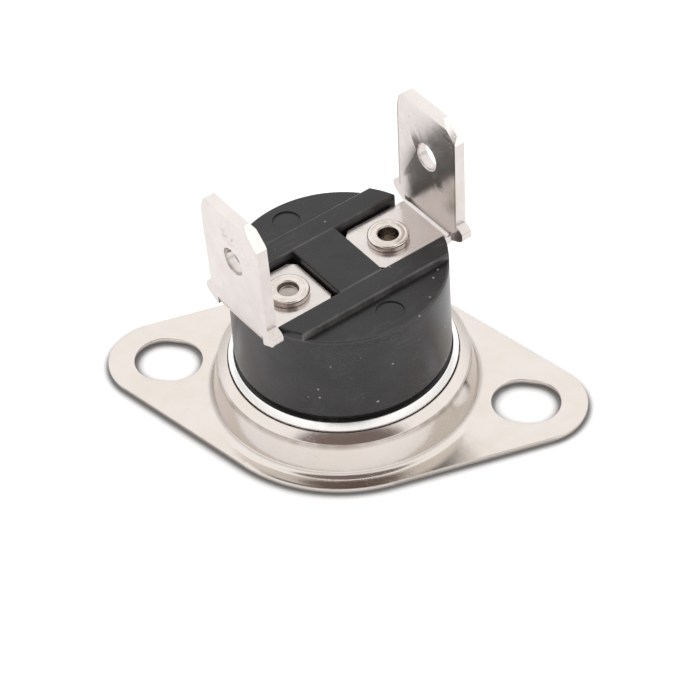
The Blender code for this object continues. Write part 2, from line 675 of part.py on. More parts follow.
# The moving blade of the spring. Its root end is round about the flex line.
def build_arm(material):
    half_thickness = ARM_THICKNESS / 2
    middle = PLATE_TOP_UNDER_CEILING - half_thickness
    half = ARM_WIDTH / 2
    hole_radius = CONTACT_SHANK_RADIUS + RIVET_HOLE_CLEARANCE
    tip_half = half - ARM_TIP_TAPER
    root = -ARM_HINGE_PLACE
    outline = [(root, -half), (0, -half), (ARM_TIP_PLACE, -tip_half),
               (ARM_TIP_PLACE, tip_half), (0, half), (root, half)]
    bm = plate_from_loops([outline, circle(CONTACT_PLACE, 0, hole_radius, SMALL_TURN)],
                          ARM_THICKNESS)
    bmesh.ops.translate(bm, verts=bm.verts, vec=(0, 0, PLATE_TOP_UNDER_CEILING))
    end_edges = [edge for edge in bm.edges
                 if all(abs(vert.co.x - root) < 1e-9 for vert in edge.verts)
                 and abs(edge.verts[0].co.z - edge.verts[1].co.z) < 1e-9]
    for vert in bm.verts:
        if abs(vert.co.x - root) < 1e-9:
            vert.co.x = root - half_thickness
    bmesh.ops.bevel(bm, geom=end_edges, offset=half_thickness * 0.98, offset_type="OFFSET",
                    segments=3, profile=0.5, affect="EDGES", clamp_overlap=True)
    pivot = switch_point(root, 0, middle)
    return finish_object(bm, "contact_arm", material, pivot=pivot)


# Contact button riveted in a strip: head on one side, shank through, upset on the other.
# Facing is 1 for a head above the strip and -1 for one below it.
def contact_profile(strip_top, strip_thickness, head_radius, head_height, facing):
    if facing > 0:
        seat = strip_top + SEAT
        far_seat = strip_top - strip_thickness - SEAT
    else:
        seat = strip_top - strip_thickness - SEAT
        far_seat = strip_top + SEAT
    face = seat + facing * head_height
    upset = far_seat - facing * CONTACT_UPSET_HEIGHT
    return [
        (0, upset),
        (CONTACT_UPSET_RADIUS - CONTACT_UPSET_DRAFT, upset),
        (CONTACT_UPSET_RADIUS, far_seat),
        (CONTACT_SHANK_RADIUS, far_seat),
        (CONTACT_SHANK_RADIUS, seat),
        (head_radius, seat),
        (head_radius, face - facing * CONTACT_EDGE),
        (head_radius - CONTACT_EDGE, face),
        (0, face),
    ]


def build_moving_contact(material):
    points = contact_profile(PLATE_TOP_UNDER_CEILING, ARM_THICKNESS,
                             MOVING_HEAD_RADIUS, MOVING_HEAD_HEIGHT, -1)
    bm = spin_profile(points, SMALL_TURN, centre=(CONTACT_PLACE, 0))
    return finish_object(bm, "moving_contact", material)


def carrier_shelf_height():
    moving_face = ARM_BOTTOM_HEIGHT - SEAT - MOVING_HEAD_HEIGHT
    return moving_face - SEAT - FIXED_HEAD_HEIGHT - SEAT


def build_fixed_contact(material):
    points = contact_profile(carrier_shelf_height(), CARRIER_THICKNESS,
                             FIXED_HEAD_RADIUS, FIXED_HEAD_HEIGHT, 1)
    bm = spin_profile(points, SMALL_TURN, centre=(CONTACT_PLACE, 0))
    return finish_object(bm, "fixed_contact", material)


# Stepped strip: clamped under the right rivet, it drops and runs in below the arm
def build_carrier(material):
    half = CARRIER_WIDTH / 2
    start = strip_reach(half)
    middle_radius = CARRIER_BEND_RADIUS + CARRIER_THICKNESS / 2
    drop = PLATE_TOP_UNDER_CEILING - carrier_shelf_height()
    first = start - CARRIER_STEP_PLACE
    quarter = math.pi / 2
    second = first + middle_radius * quarter + drop - 2 * middle_radius
    bends = [(first, CARRIER_BEND_RADIUS, -quarter), (second, CARRIER_BEND_RADIUS, quarter)]
    second_end = second + middle_radius * quarter
    shelf_start = CARRIER_STEP_PLACE - 2 * middle_radius
    end = second_end + shelf_start - CARRIER_END_PLACE
    contact = second_end + shelf_start - CONTACT_PLACE
    outline = [(0, -half), (end, -half), (end, half), (0, half)]
    rivet_hole = RIVET_SHANK_RADIUS + RIVET_HOLE_CLEARANCE
    contact_hole = CONTACT_SHANK_RADIUS + RIVET_HOLE_CLEARANCE
    loops = [
        outline,
        circle(start - RIGHT_RIVET_PLACE, 0, rivet_hole, SMALL_TURN),
        circle(contact, 0, contact_hole, SMALL_TURN),
    ]
    bm = plate_from_loops(loops, CARRIER_THICKNESS)
    score_blank(bm, bends, CARRIER_THICKNESS, 4)
    middle_height = PLATE_TOP_UNDER_CEILING - CARRIER_THICKNESS / 2
    for vert in bm.verts:
        along, across, depth = vert.co
        x, z = bent_point(along, depth + CARRIER_THICKNESS / 2, bends, CARRIER_THICKNESS)
        vert.co = (start - x, across, middle_height + z)
    return finish_object(bm, "contact_carrier", material)


def clear_scene():
    for obj in list(bpy.data.objects):
        bpy.data.objects.remove(obj, do_unlink=True)


def main():
    clear_scene()
    plated = make_material("nickel_plated_steel", (0.74, 0.71, 0.67), 0.28, 1.0)
    tab_metal = make_material("plated_terminal_metal", (0.78, 0.75, 0.72), 0.3, 1.0)
    aluminium = make_material("bright_aluminium", (0.85, 0.85, 0.85), 0.25, 1.0)
    phenolic = make_material("black_phenolic", (0.03, 0.029, 0.03), 0.38, 0.0)
    ceramic = make_material("white_ceramic", (0.8, 0.78, 0.72), 0.5, 0.0)
    bimetal = make_material("bimetal_sheet", (0.55, 0.5, 0.42), 0.35, 1.0)
    spring_metal = make_material("spring_bronze", (0.7, 0.45, 0.25), 0.35, 1.0)
    silver = make_material("contact_silver", (0.9, 0.89, 0.86), 0.25, 1.0)
    build_flange(plated)
    build_cap(aluminium)
    build_disc(bimetal)
    build_guide(phenolic)
    build_pin(ceramic)
    build_body(phenolic)
    build_terminal("terminal_right", 1, RIGHT_PAD_START, RIGHT_BLADE_FACE, RIGHT_LEAN,
                   RIGHT_RIVET_PLACE, tab_metal)
    build_terminal("terminal_left", -1, LEFT_PAD_START, LEFT_BLADE_FACE, LEFT_LEAN,
                   LEFT_RIVET_PLACE, tab_metal)
    build_rivet("rivet_right", RIGHT_RIVET_PLACE, CARRIER_THICKNESS, tab_metal)
    build_rivet("rivet_left", -LEFT_RIVET_PLACE, ARM_THICKNESS, tab_metal)
    build_arm_root(spring_metal)
    build_arm(spring_metal)
    build_moving_contact(silver)
    build_carrier(spring_metal)
    build_fixed_contact(silver)


main()
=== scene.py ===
import math

import bmesh
import bpy
from mathutils import Matrix, Vector


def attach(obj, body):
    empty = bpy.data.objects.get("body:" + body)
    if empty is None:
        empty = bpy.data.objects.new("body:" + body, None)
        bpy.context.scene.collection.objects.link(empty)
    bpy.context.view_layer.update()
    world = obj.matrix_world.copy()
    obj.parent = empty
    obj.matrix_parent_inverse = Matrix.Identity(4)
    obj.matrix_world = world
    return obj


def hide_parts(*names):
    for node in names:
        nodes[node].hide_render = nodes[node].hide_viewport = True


# Shapes are made in millimetres and brought to metres when a piece is finished.
# u runs from the left blade to the right one, v across them; the switch is turned in its flange.

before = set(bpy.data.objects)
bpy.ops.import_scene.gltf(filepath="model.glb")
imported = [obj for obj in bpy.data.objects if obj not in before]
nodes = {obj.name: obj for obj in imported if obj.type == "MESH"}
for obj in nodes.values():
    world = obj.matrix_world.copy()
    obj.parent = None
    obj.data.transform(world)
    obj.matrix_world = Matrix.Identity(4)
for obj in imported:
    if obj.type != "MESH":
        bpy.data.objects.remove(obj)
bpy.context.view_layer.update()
scene = bpy.context.scene
print("frame loaded with", len(nodes), "nodes")

switchAngle = math.radians(49.2)

# Camera at the photo's view

cameraSettings = {
    "azimuth": 14.809, "elevation": 44.21, "roll": -3.905,
    "distance": 230.38, "aimHeight": 6.0, "sideways": 0.444, "upwards": -1.881,
    "lens": 173.72, "sensor": 36.0,
}


def placeCamera(settings):
    azimuth = math.radians(settings["azimuth"])
    elevation = math.radians(settings["elevation"])
    back = Vector((math.sin(azimuth) * math.cos(elevation),
                   -math.cos(azimuth) * math.cos(elevation), math.sin(elevation)))
    right = Vector((math.cos(azimuth), math.sin(azimuth), 0))
    up = back.cross(right)
    place = Vector((0, 0, settings["aimHeight"])) + back * settings["distance"]
    place += right * settings["sideways"] + up * settings["upwards"]
    camera = bpy.data.objects.new("photoCamera", bpy.data.cameras.new("photoCamera"))
    camera.data.sensor_width = settings["sensor"]
    camera.data.lens = settings["lens"]
    camera.data.clip_start = 0.01
    camera.data.clip_end = 10
    turn = Matrix((right, up, back)).transposed().to_4x4()
    roll = Matrix.Rotation(math.radians(settings["roll"]), 4, "Z")
    camera.matrix_world = Matrix.Translation(place * 0.001) @ turn @ roll
    scene.collection.objects.link(camera)
    scene.camera = camera


placeCamera(cameraSettings)
print("camera placed")


# Shader groups that several finishes share

def addNode(tree, kind, label=None, **values):
    node = tree.nodes.new(kind)
    if label:
        node.label = label
    for name, value in values.items():
        setattr(node, name, value)
    return node


def newGroup(name, inputs, outputs):
    group = bpy.data.node_groups.new(name, "ShaderNodeTree")
    for label, kind, value in inputs:
        socket = group.interface.new_socket(name=label, in_out="INPUT", socket_type=kind)
        if value is not None:
            socket.default_value = value
    for label, kind in outputs:
        group.interface.new_socket(name=label, in_out="OUTPUT", socket_type=kind)
    start = addNode(group, "NodeGroupInput")
    end = addNode(group, "NodeGroupOutput")
    return group, start, end


def makeCloudGroup():
    # soft uneven patches, 0 to 1, as handling and plating leave them
    group, start, end = newGroup(
        "cloudyPatches",
        [("Vector", "NodeSocketVector", None), ("Scale", "NodeSocketFloat", 1.0),
         ("Low", "NodeSocketFloat", 0.35), ("High", "NodeSocketFloat", 0.65)],
        [("Mask", "NodeSocketFloat")])
    link = group.links.new
    noise = addNode(group, "ShaderNodeTexNoise")
    noise.inputs["Detail"].default_value = 4
    noise.inputs["Roughness"].default_value = 0.6
    spread = addNode(group, "ShaderNodeMapRange", interpolation_type="SMOOTHSTEP")
    link(start.outputs["Vector"], noise.inputs["Vector"])
    link(start.outputs["Scale"], noise.inputs["Scale"])
    link(noise.outputs["Fac"], spread.inputs["Value"])
    link(start.outputs["Low"], spread.inputs["From Min"])
    link(start.outputs["High"], spread.inputs["From Max"])
    link(spread.outputs["Result"], end.inputs["Mask"])
    return group


def makeSpeckGroup():
    # lone small dots, such as dust or pits: only a share of the cells gets one
    group, start, end = newGroup(
        "loneSpecks",
        [("Vector", "NodeSocketVector", None), ("Scale", "NodeSocketFloat", 1.0),
         ("Size", "NodeSocketFloat", 0.08), ("Share", "NodeSocketFloat", 0.2)],
        [("Mask", "NodeSocketFloat")])
    link = group.links.new
    cells = addNode(group, "ShaderNodeTexVoronoi", feature="F1")
    split = addNode(group, "ShaderNodeSeparateColor")
    chosen = addNode(group, "ShaderNodeMath", operation="LESS_THAN")
    reach = addNode(group, "ShaderNodeMath", operation="MULTIPLY")
    dot = addNode(group, "ShaderNodeMapRange", interpolation_type="SMOOTHSTEP")
    dot.inputs["To Min"].default_value = 1
    dot.inputs["To Max"].default_value = 0
    both = addNode(group, "ShaderNodeMath", operation="MULTIPLY")
    link(start.outputs["Vector"], cells.inputs["Vector"])
    link(start.outputs["Scale"], cells.inputs["Scale"])
    link(cells.outputs["Color"], split.inputs["Color"])
    link(split.outputs["Red"], chosen.inputs[0])
    link(start.outputs["Share"], chosen.inputs[1])
    link(split.outputs["Green"], reach.inputs[0])
    link(start.outputs["Size"], reach.inputs[1])
    link(cells.outputs["Distance"], dot.inputs["Value"])
    link(reach.outputs["Value"], dot.inputs["From Max"])
    link(dot.outputs["Result"], both.inputs[0])
    link(chosen.outputs["Value"], both.inputs[1])
    link(both.outputs["Value"], end.inputs["Mask"])
    return group


def makeScratchGroup():
    # fine hairline scratches in one direction, broken up by cloudy patches
    group, start, end = newGroup(
        "hairlines",
        [("Vector", "NodeSocketVector", None), ("Angle", "NodeSocketFloat", 0.0),
         ("Scale", "NodeSocketFloat", 3.0), ("Width", "NodeSocketFloat", 0.03)],
        [("Mask", "NodeSocketFloat")])
    link = group.links.new
    turn = addNode(group, "ShaderNodeVectorRotate", rotation_type="Z_AXIS")
    stretch = addNode(group, "ShaderNodeVectorMath", operation="MULTIPLY")
    stretch.inputs[1].default_value = (0.04, 1.0, 1.0)
    noise = addNode(group, "ShaderNodeTexNoise")
    noise.inputs["Detail"].default_value = 2
    middle = addNode(group, "ShaderNodeMath", operation="SUBTRACT")
    middle.inputs[1].default_value = 0.5
    away = addNode(group, "ShaderNodeMath", operation="ABSOLUTE")
    line = addNode(group, "ShaderNodeMapRange", interpolation_type="SMOOTHSTEP")
    line.inputs["To Min"].default_value = 1
    line.inputs["To Max"].default_value = 0
    breaks = addNode(group, "ShaderNodeTexNoise")
    breaks.inputs["Scale"].default_value = 0.35
    gate = addNode(group, "ShaderNodeMapRange", interpolation_type="SMOOTHSTEP")
    gate.inputs["From Min"].default_value = 0.52
    gate.inputs["From Max"].default_value = 0.62
    both = addNode(group, "ShaderNodeMath", operation="MULTIPLY")
    link(start.outputs["Vector"], turn.inputs["Vector"])
    link(start.outputs["Angle"], turn.inputs["Angle"])
    link(turn.outputs["Vector"], stretch.inputs[0])
    link(stretch.outputs["Vector"], noise.inputs["Vector"])
    link(start.outputs["Scale"], noise.inputs["Scale"])
    link(noise.outputs["Fac"], middle.inputs[0])
    link(middle.outputs["Value"], away.inputs[0])
    link(away.outputs["Value"], line.inputs["Value"])
    link(start.outputs["Width"], line.inputs["From Max"])
    link(turn.outputs["Vector"], breaks.inputs["Vector"])
    link(breaks.outputs["Fac"], gate.inputs["Value"])
    link(line.outputs["Result"], both.inputs[0])
    link(gate.outputs["Result"], both.inputs[1])
    link(both.outputs["Value"], end.inputs["Mask"])
    return group


cloudyPatches = makeCloudGroup()
loneSpecks = makeSpeckGroup()
hairlines = makeScratchGroup()


def startMaterial(name):
    # a Principled shader, and Object coordinates in millimetres
    material = bpy.data.materials.new(name)
    material.use_nodes = True
    tree = material.node_tree
    shader = tree.nodes["Principled BSDF"]
    coordinates = addNode(tree, "ShaderNodeTexCoord")
    millimetres = addNode(tree, "ShaderNodeVectorMath", "to millimetres", operation="SCALE")
    millimetres.inputs["Scale"].default_value = 1000
    tree.links.new(coordinates.outputs["Object"], millimetres.inputs[0])
    return material, tree, shader, millimetres.outputs["Vector"]


def useGroup(tree, group, vector, **values):
    node = addNode(tree, "ShaderNodeGroup")
    node.node_tree = group
    tree.links.new(vector, node.inputs["Vector"])
    for name, value in values.items():
        node.inputs[name].default_value = value
    return node.outputs["Mask"]


def mixColours(tree, mask, first, second):
    mix = addNode(tree, "ShaderNodeMix", data_type="RGBA")
    for socket, value in ((mix.inputs[6], first), (mix.inputs[7], second)):
        if isinstance(value, bpy.types.NodeSocket):
            tree.links.new(value, socket)
        else:
            socket.default_value = (*value, 1)
    tree.links.new(mask, mix.inputs["Factor"])
    return mix.outputs[2]


def mapValue(tree, value, low, high, fromLow=0.0, fromHigh=1.0):
    spread = addNode(tree, "ShaderNodeMapRange")
    spread.inputs["From Min"].default_value = fromLow
    spread.inputs["From Max"].default_value = fromHigh
    spread.inputs["To Min"].default_value = low
    spread.inputs["To Max"].default_value = high
    tree.links.new(value, spread.inputs["Value"])
    return spread.outputs["Result"]


def combine(tree, operation, first, second):
    node = addNode(tree, "ShaderNodeMath", operation=operation)
    for socket, value in ((node.inputs[0], first), (node.inputs[1], second)):
        if isinstance(value, bpy.types.NodeSocket):
            tree.links.new(value, socket)
        else:
            socket.default_value = value
    return node.outputs["Value"]


def fineNoise(tree, vector, scale, detail=3.0):
    noise = addNode(tree, "ShaderNodeTexNoise")
    noise.inputs["Scale"].default_value = scale
    noise.inputs["Detail"].default_value = detail
    tree.links.new(vector, noise.inputs["Vector"])
    return noise.outputs["Fac"]


def giveBump(tree, shader, height, strength, distance):
    bump = addNode(tree, "ShaderNodeBump")
    bump.inputs["Strength"].default_value = strength
    bump.inputs["Distance"].default_value = distance
    tree.links.new(height, bump.inputs["Height"])
    tree.links.new(bump.outputs["Normal"], shader.inputs["Normal"])


def makePlatedMetal(name, settings):
    # bright plating: cloudy tint, a few dark pits, hairlines, and a faint ripple of the sheet
    material, tree, shader, vector = startMaterial(name)
    shader.inputs["Metallic"].default_value = settings.get("metallic", 1.0)
    patches = useGroup(tree, cloudyPatches, vector, Scale=settings["patchScale"])
    pits = useGroup(tree, loneSpecks, vector, Scale=2.2, Size=settings["pitSize"],
                    Share=settings["pitShare"])
    lines = useGroup(tree, hairlines, vector, Angle=settings["lineAngle"], Scale=4.0)
    colour = mixColours(tree, patches, settings["colour"], settings["patchColour"])
    colour = mixColours(tree, combine(tree, "MULTIPLY", pits, 0.6), colour, settings["pitColour"])
    # each entry is a painted highlight or painted shade, or the real smudge, mixed in with its tint
    for findMarkOrLight, tint in settings.get("marksAndPaintedLight", []):
        colour = mixColours(tree, findMarkOrLight(tree, vector, patches), colour, tint)
    tree.links.new(colour, shader.inputs["Base Color"])
    grain = fineNoise(tree, vector, 9.0, 5.0)
    rough = mapValue(tree, grain, settings["roughLow"], settings["roughHigh"], 0.3, 0.7)
    rough = combine(tree, "ADD", rough, mapValue(tree, patches, 0.0, settings["patchRough"]))
    rough = combine(tree, "ADD", rough, mapValue(tree, lines, 0.0, 0.12))
    tree.links.new(rough, shader.inputs["Roughness"])
    ripple = fineNoise(tree, vector, 0.9, 2.0)
    height = combine(tree, "ADD", mapValue(tree, ripple, 0.0, settings["ripple"]),
                     mapValue(tree, grain, 0.0, settings["grain"]))
    height = combine(tree, "SUBTRACT", height, mapValue(tree, pits, 0.0, 0.004))
    giveBump(tree, shader, height, 1.0, 0.001)
    return material


def multiply(tree, first, *others):
    for other in others:
        first = combine(tree, "MULTIPLY", first, other)
    return first


def distanceFrom(tree, value, place):
    return combine(tree, "ABSOLUTE", combine(tree, "SUBTRACT", value, place), 0.0)


def placeParts(tree, vector, turn=0.0):
    # the place along u and v, and its height
    turned = addNode(tree, "ShaderNodeVectorRotate", rotation_type="Z_AXIS")
    turned.inputs["Angle"].default_value = -turn
    tree.links.new(vector, turned.inputs["Vector"])
    split = addNode(tree, "ShaderNodeSeparateXYZ")
    tree.links.new(turned.outputs["Vector"], split.inputs["Vector"])
    return split.outputs["X"], split.outputs["Y"], split.outputs["Z"]


def axisDistance(tree, along, across):
    squares = combine(tree, "ADD", combine(tree, "POWER", along, 2.0),
                      combine(tree, "POWER", across, 2.0))
    return combine(tree, "SQRT", squares, 0.0)


# Where the painted highlights and shade, and the smudge of handling, lie, in millimetres

markAndLightPlaces = {
    "shoulderRadius": 8.77, "shoulderLow": 2.6,
    "tipCorner": 22.68, "tipStrip": 20.42, "tipStripShare": 0.25,
    "cutLine": 3.04, "cutLow": 12.2, "cutHigh": 19.9,
    "smudgeAcross": 0.2, "smudgeHeight": 18.6, "smudgeFace": -7.3, "smudgeStrength": 0.6,
    "rivet": 4.2, "bore": 0.8, "boreTop": 11.66, "boreLeft": 0.6, "boreRight": 0.25,
    "ribOuter": 4.36, "ribInner": 2.7, "ribLow": 11.3,
    "rimRadius": 7.33, "rimLow": 11.22, "rimHigh": 11.4, "rimShare": 0.3,
}


def shoulderShadePaint(tree, vector, patches, m=markAndLightPlaces):
    # painted shade: a brown line of shade and dark reflection round the flange's shoulder, broken
    # up by the patches
    along, across, height = placeParts(tree, vector)
    away = distanceFrom(tree, axisDistance(tree, along, across), m["shoulderRadius"])
    return multiply(tree, mapValue(tree, away, 1.0, 0.0, 0.03, 0.09),
                    combine(tree, "GREATER_THAN", height, m["shoulderLow"]),
                    mapValue(tree, patches, 0.25, 0.75))


def tipHighlightPaint(tree, vector, patches, m=markAndLightPlaces):
    # painted highlight: the coined corner facet of each blade's tip is painted bright, and the
    # tip's strip faintly
    along, across, height = placeParts(tree, vector, switchAngle)
    reach = combine(tree, "SUBTRACT", height, across)
    strip = combine(tree, "GREATER_THAN", height, m["tipStrip"])
    return combine(tree, "MAXIMUM", combine(tree, "GREATER_THAN", reach, m["tipCorner"]),
                   multiply(tree, strip, m["tipStripShare"]))


def cutEdgeShadePaint(tree, vector, patches, m=markAndLightPlaces):
    # painted shade: a thin dark line of the edges' roll-over, its shade and dark reflection, along
    # both cut edges of the right blade
    along, across, height = placeParts(tree, vector, switchAngle)
    away = distanceFrom(tree, combine(tree, "ABSOLUTE", across, 0.0), m["cutLine"])
    return multiply(tree, mapValue(tree, away, 1.0, 0.0, 0.02, 0.07),
                    combine(tree, "GREATER_THAN", along, 0.0),
                    combine(tree, "GREATER_THAN", height, m["cutLow"]),
                    combine(tree, "LESS_THAN", height, m["cutHigh"]),
                    mapValue(tree, patches, 0.75, 0.45))


def smudgeMark(tree, vector, patches, m=markAndLightPlaces):
    # dull fingering on the outside of the left blade, above its hole
    along, across, height = placeParts(tree, vector, switchAngle)
    sideways = multiply(tree, combine(tree, "SUBTRACT", across, m["smudgeAcross"]), 0.75)
    upwards = multiply(tree, combine(tree, "SUBTRACT", height, m["smudgeHeight"]), 1.5)
    near = mapValue(tree, axisDistance(tree, sideways, upwards), 1.0, 0.0, 0.35, 1.0)
    outside = combine(tree, "LESS_THAN", along, m["smudgeFace"])
    blots = mapValue(tree, fineNoise(tree, vector, 2.6, 4.0), 0.0, 1.0, 0.48, 0.6)
    return multiply(tree, near, outside, blots, m["smudgeStrength"])


def boreShadePaint(tree, vector, patches, m=markAndLightPlaces):
    # painted shade inside the rivets' bores; the left bore is shallow and gets the stronger painted
    # shade, to look as dark
    along, across, height = placeParts(tree, vector, switchAngle)
    strength = mapValue(tree, along, m["boreLeft"], m["boreRight"], -1.0, 1.0)
    along = combine(tree, "SUBTRACT", combine(tree, "ABSOLUTE", along, 0.0), m["rivet"])
    return multiply(tree, combine(tree, "LESS_THAN", axisDistance(tree, along, across), m["bore"]),
                    combine(tree, "LESS_THAN", height, m["boreTop"]), strength)


def ribHighlightPaint(tree, vector, patches, m=markAndLightPlaces):
    # painted highlight: light lines along the edges of the case's ribs and channels, and faintly
    # round the rim of its ledges
    along, across, height = placeParts(tree, vector, switchAngle)
    across = combine(tree, "ABSOLUTE", across, 0.0)
    away = combine(tree, "MINIMUM", distanceFrom(tree, across, m["ribOuter"]),
                   distanceFrom(tree, across, m["ribInner"]))
    line = multiply(tree, mapValue(tree, away, 1.0, 0.0, 0.04, 0.11),
                    combine(tree, "GREATER_THAN", height, m["ribLow"]),
                    mapValue(tree, patches, 0.35, 0.9))
    radius = axisDistance(tree, along, across)
    rim = multiply(tree, combine(tree, "GREATER_THAN", radius, m["rimRadius"]),
                   combine(tree, "GREATER_THAN", height, m["rimLow"]),
                   combine(tree, "LESS_THAN", height, m["rimHigh"]), m["rimShare"])
    return combine(tree, "MAXIMUM", line, rim)


nickelSettings = {
    "colour": (0.655, 0.603, 0.573), "patchColour": (0.635, 0.585, 0.535), "patchScale": 0.35,
    "pitColour": (0.35, 0.30, 0.25), "pitSize": 0.07, "pitShare": 0.12, "lineAngle": 0.3,
    "roughLow": 0.11, "roughHigh": 0.17, "patchRough": 0.05, "ripple": 0.006, "grain": 0.0012,
    # painted shade along the collar's shoulder
    "marksAndPaintedLight": [(shoulderShadePaint, (0.25, 0.2, 0.17))],
}
tabSettings = {
    "colour": (0.655, 0.61, 0.585), "patchColour": (0.625, 0.575, 0.55), "patchScale": 0.5,
    "pitColour": (0.4, 0.36, 0.32), "pitSize": 0.08, "pitShare": 0.14, "lineAngle": 0.9,
    "roughLow": 0.14, "roughHigh": 0.22, "patchRough": 0.06, "ripple": 0.008, "grain": 0.0012,
    # a painted highlight on the tip corners, painted shade along the cut edges, and a real smudge
    "metallic": 0.9, "marksAndPaintedLight": [(tipHighlightPaint, (0.82, 0.80, 0.76)), (cutEdgeShadePaint, (0.16, 0.14, 0.13)),
                              (smudgeMark, (0.33, 0.27, 0.25))],
}
rivetSettings = {
    "colour": (0.66, 0.61, 0.57), "patchColour": (0.58, 0.52, 0.47), "patchScale": 1.6,
    "pitColour": (0.3, 0.26, 0.22), "pitSize": 0.09, "pitShare": 0.2, "lineAngle": 0.0,
    "roughLow": 0.12, "roughHigh": 0.2, "patchRough": 0.06, "ripple": 0.03, "grain": 0.003,
    # painted shade inside the bores
    "marksAndPaintedLight": [(boreShadePaint, (0.16, 0.14, 0.12))],
}
aluminiumSettings = {
    "colour": (0.86, 0.85, 0.84), "patchColour": (0.82, 0.80, 0.78), "patchScale": 0.5,
    "pitColour": (0.5, 0.48, 0.45), "pitSize": 0.06, "pitShare": 0.1, "lineAngle": 0.6,
    "roughLow": 0.18, "roughHigh": 0.26, "patchRough": 0.05, "ripple": 0.005, "grain": 0.0015,
}

nickelPlate = makePlatedMetal("nickelPlate", nickelSettings)
tabPlate = makePlatedMetal("tabPlate", tabSettings)
rivetPlate = makePlatedMetal("rivetPlate", rivetSettings)
drawnAluminium = makePlatedMetal("drawnAluminium", aluminiumSettings)

caseSettings = {
    "colour": (0.015, 0.014, 0.0145), "patchColour": (0.021, 0.0195, 0.0195),
    "dustColour": (0.55, 0.54, 0.52), "lineColour": (0.09, 0.09, 0.09),
    # the last colour is the painted highlight along the ribs' edges
    "roughLow": 0.26, "roughHigh": 0.34, "ribHighlightColour": (0.11, 0.107, 0.104),
}


def makeCaseMaterial(name, settings):
    # moulded black case: faint grain, dust that lies on it, a few rubbed hairlines, and painted
    # highlights along its ribs' edges
    material, tree, shader, vector = startMaterial(name)
    patches = useGroup(tree, cloudyPatches, vector, Scale=0.5)
    dust = useGroup(tree, loneSpecks, vector, Scale=1.1, Size=0.16, Share=0.4)
    fineDust = useGroup(tree, loneSpecks, vector, Scale=4.0, Size=0.14, Share=0.2)
    lines = useGroup(tree, hairlines, vector, Angle=-0.86, Scale=5.0, Width=0.025)
    specks = combine(tree, "MAXIMUM", dust, mapValue(tree, fineDust, 0.0, 0.5))
    colour = mixColours(tree, patches, settings["colour"], settings["patchColour"])
    colour = mixColours(tree, combine(tree, "MULTIPLY", lines, 0.45), colour,
                        settings["lineColour"])
    # painted highlights along the ribs' edges and the ledges' rim
    colour = mixColours(tree, ribHighlightPaint(tree, vector, patches), colour, settings["ribHighlightColour"])
    colour = mixColours(tree, combine(tree, "MULTIPLY", specks, 0.8), colour,
                        settings["dustColour"])
    tree.links.new(colour, shader.inputs["Base Color"])
    grain = fineNoise(tree, vector, 12.0, 4.0)
    rough = mapValue(tree, grain, settings["roughLow"], settings["roughHigh"], 0.3, 0.7)
    rough = combine(tree, "ADD", rough, mapValue(tree, specks, 0.0, 0.3))
    tree.links.new(rough, shader.inputs["Roughness"])
    shader.inputs["Specular IOR Level"].default_value = 0.38
    height = combine(tree, "ADD", mapValue(tree, grain, 0.0, 0.003),
                     mapValue(tree, specks, 0.0, 0.01))
    giveBump(tree, shader, height, 1.0, 0.001)
    return material


blackCase = makeCaseMaterial("blackCase", caseSettings)


def makePlainFinish(name, colour, other, metallic, roughLow, roughHigh, scale):
    # the sealed pieces: a mottled colour and a fine grain
    material, tree, shader, vector = startMaterial(name)
    shader.inputs["Metallic"].default_value = metallic
    patches = useGroup(tree, cloudyPatches, vector, Scale=scale)
    tree.links.new(mixColours(tree, patches, colour, other), shader.inputs["Base Color"])
    grain = fineNoise(tree, vector, 10.0, 4.0)
    tree.links.new(mapValue(tree, grain, roughLow, roughHigh, 0.3, 0.7),
                   shader.inputs["Roughness"])
    giveBump(tree, shader, mapValue(tree, grain, 0.0, 0.003), 1.0, 0.001)
    return material


sealedFinishes = {
    "bimetal_disc": makePlainFinish("rolledBimetal", (0.55, 0.50, 0.42), (0.46, 0.41, 0.33),
                                    1.0, 0.25, 0.42, 0.8),
    "pin_guide": makePlainFinish("guidePhenolic", (0.05, 0.03, 0.022), (0.065, 0.04, 0.03),
                                 0.0, 0.4, 0.55, 0.6),
    "push_pin": makePlainFinish("ceramicPin", (0.80, 0.78, 0.72), (0.74, 0.71, 0.64),
                                0.0, 0.4, 0.6, 1.5),
    "arm_root": makePlainFinish("springBronze", (0.70, 0.45, 0.25), (0.60, 0.36, 0.20),
                                1.0, 0.22, 0.38, 1.2),
    "moving_contact": makePlainFinish("silverContact", (0.90, 0.89, 0.86), (0.82, 0.80, 0.76),
                                      1.0, 0.15, 0.3, 2.0),
}
sealedFinishes["contact_arm"] = sealedFinishes["arm_root"]
sealedFinishes["contact_carrier"] = sealedFinishes["arm_root"]
sealedFinishes["fixed_contact"] = sealedFinishes["moving_contact"]

for nodeName, finish in sealedFinishes.items():
    for slot in nodes[nodeName].material_slots:
        slot.material = finish
print("finishes made")


# Ways of making that several pieces share

def arcPoints(centreX, centreY, radius, start, end, steps):
    points = []
    for i in range(steps + 1):
        angle = math.radians(start + (end - start) * i / steps)
        points.append((centreX + radius * math.cos(angle), centreY + radius * math.sin(angle)))
    return points


def ringPoints(centreX, centreY, radius, steps):
    return arcPoints(centreX, centreY, radius, 0, 360, steps)[:-1]


def roundCorner(before, corner, after, radius, steps):
    corner = Vector(corner)
    toBefore = (Vector(before) - corner).normalized()
    toAfter = (Vector(after) - corner).normalized()
    half = toBefore.angle(toAfter) / 2
    centre = corner + (toBefore + toAfter).normalized() * radius / math.sin(half)
    start = corner + toBefore * radius / math.tan(half) - centre
    turn = start.angle_signed(corner + toAfter * radius / math.tan(half) - centre)
    return [tuple(centre + Matrix.Rotation(-turn * i / steps, 2) @ start)
            for i in range(steps + 1)]


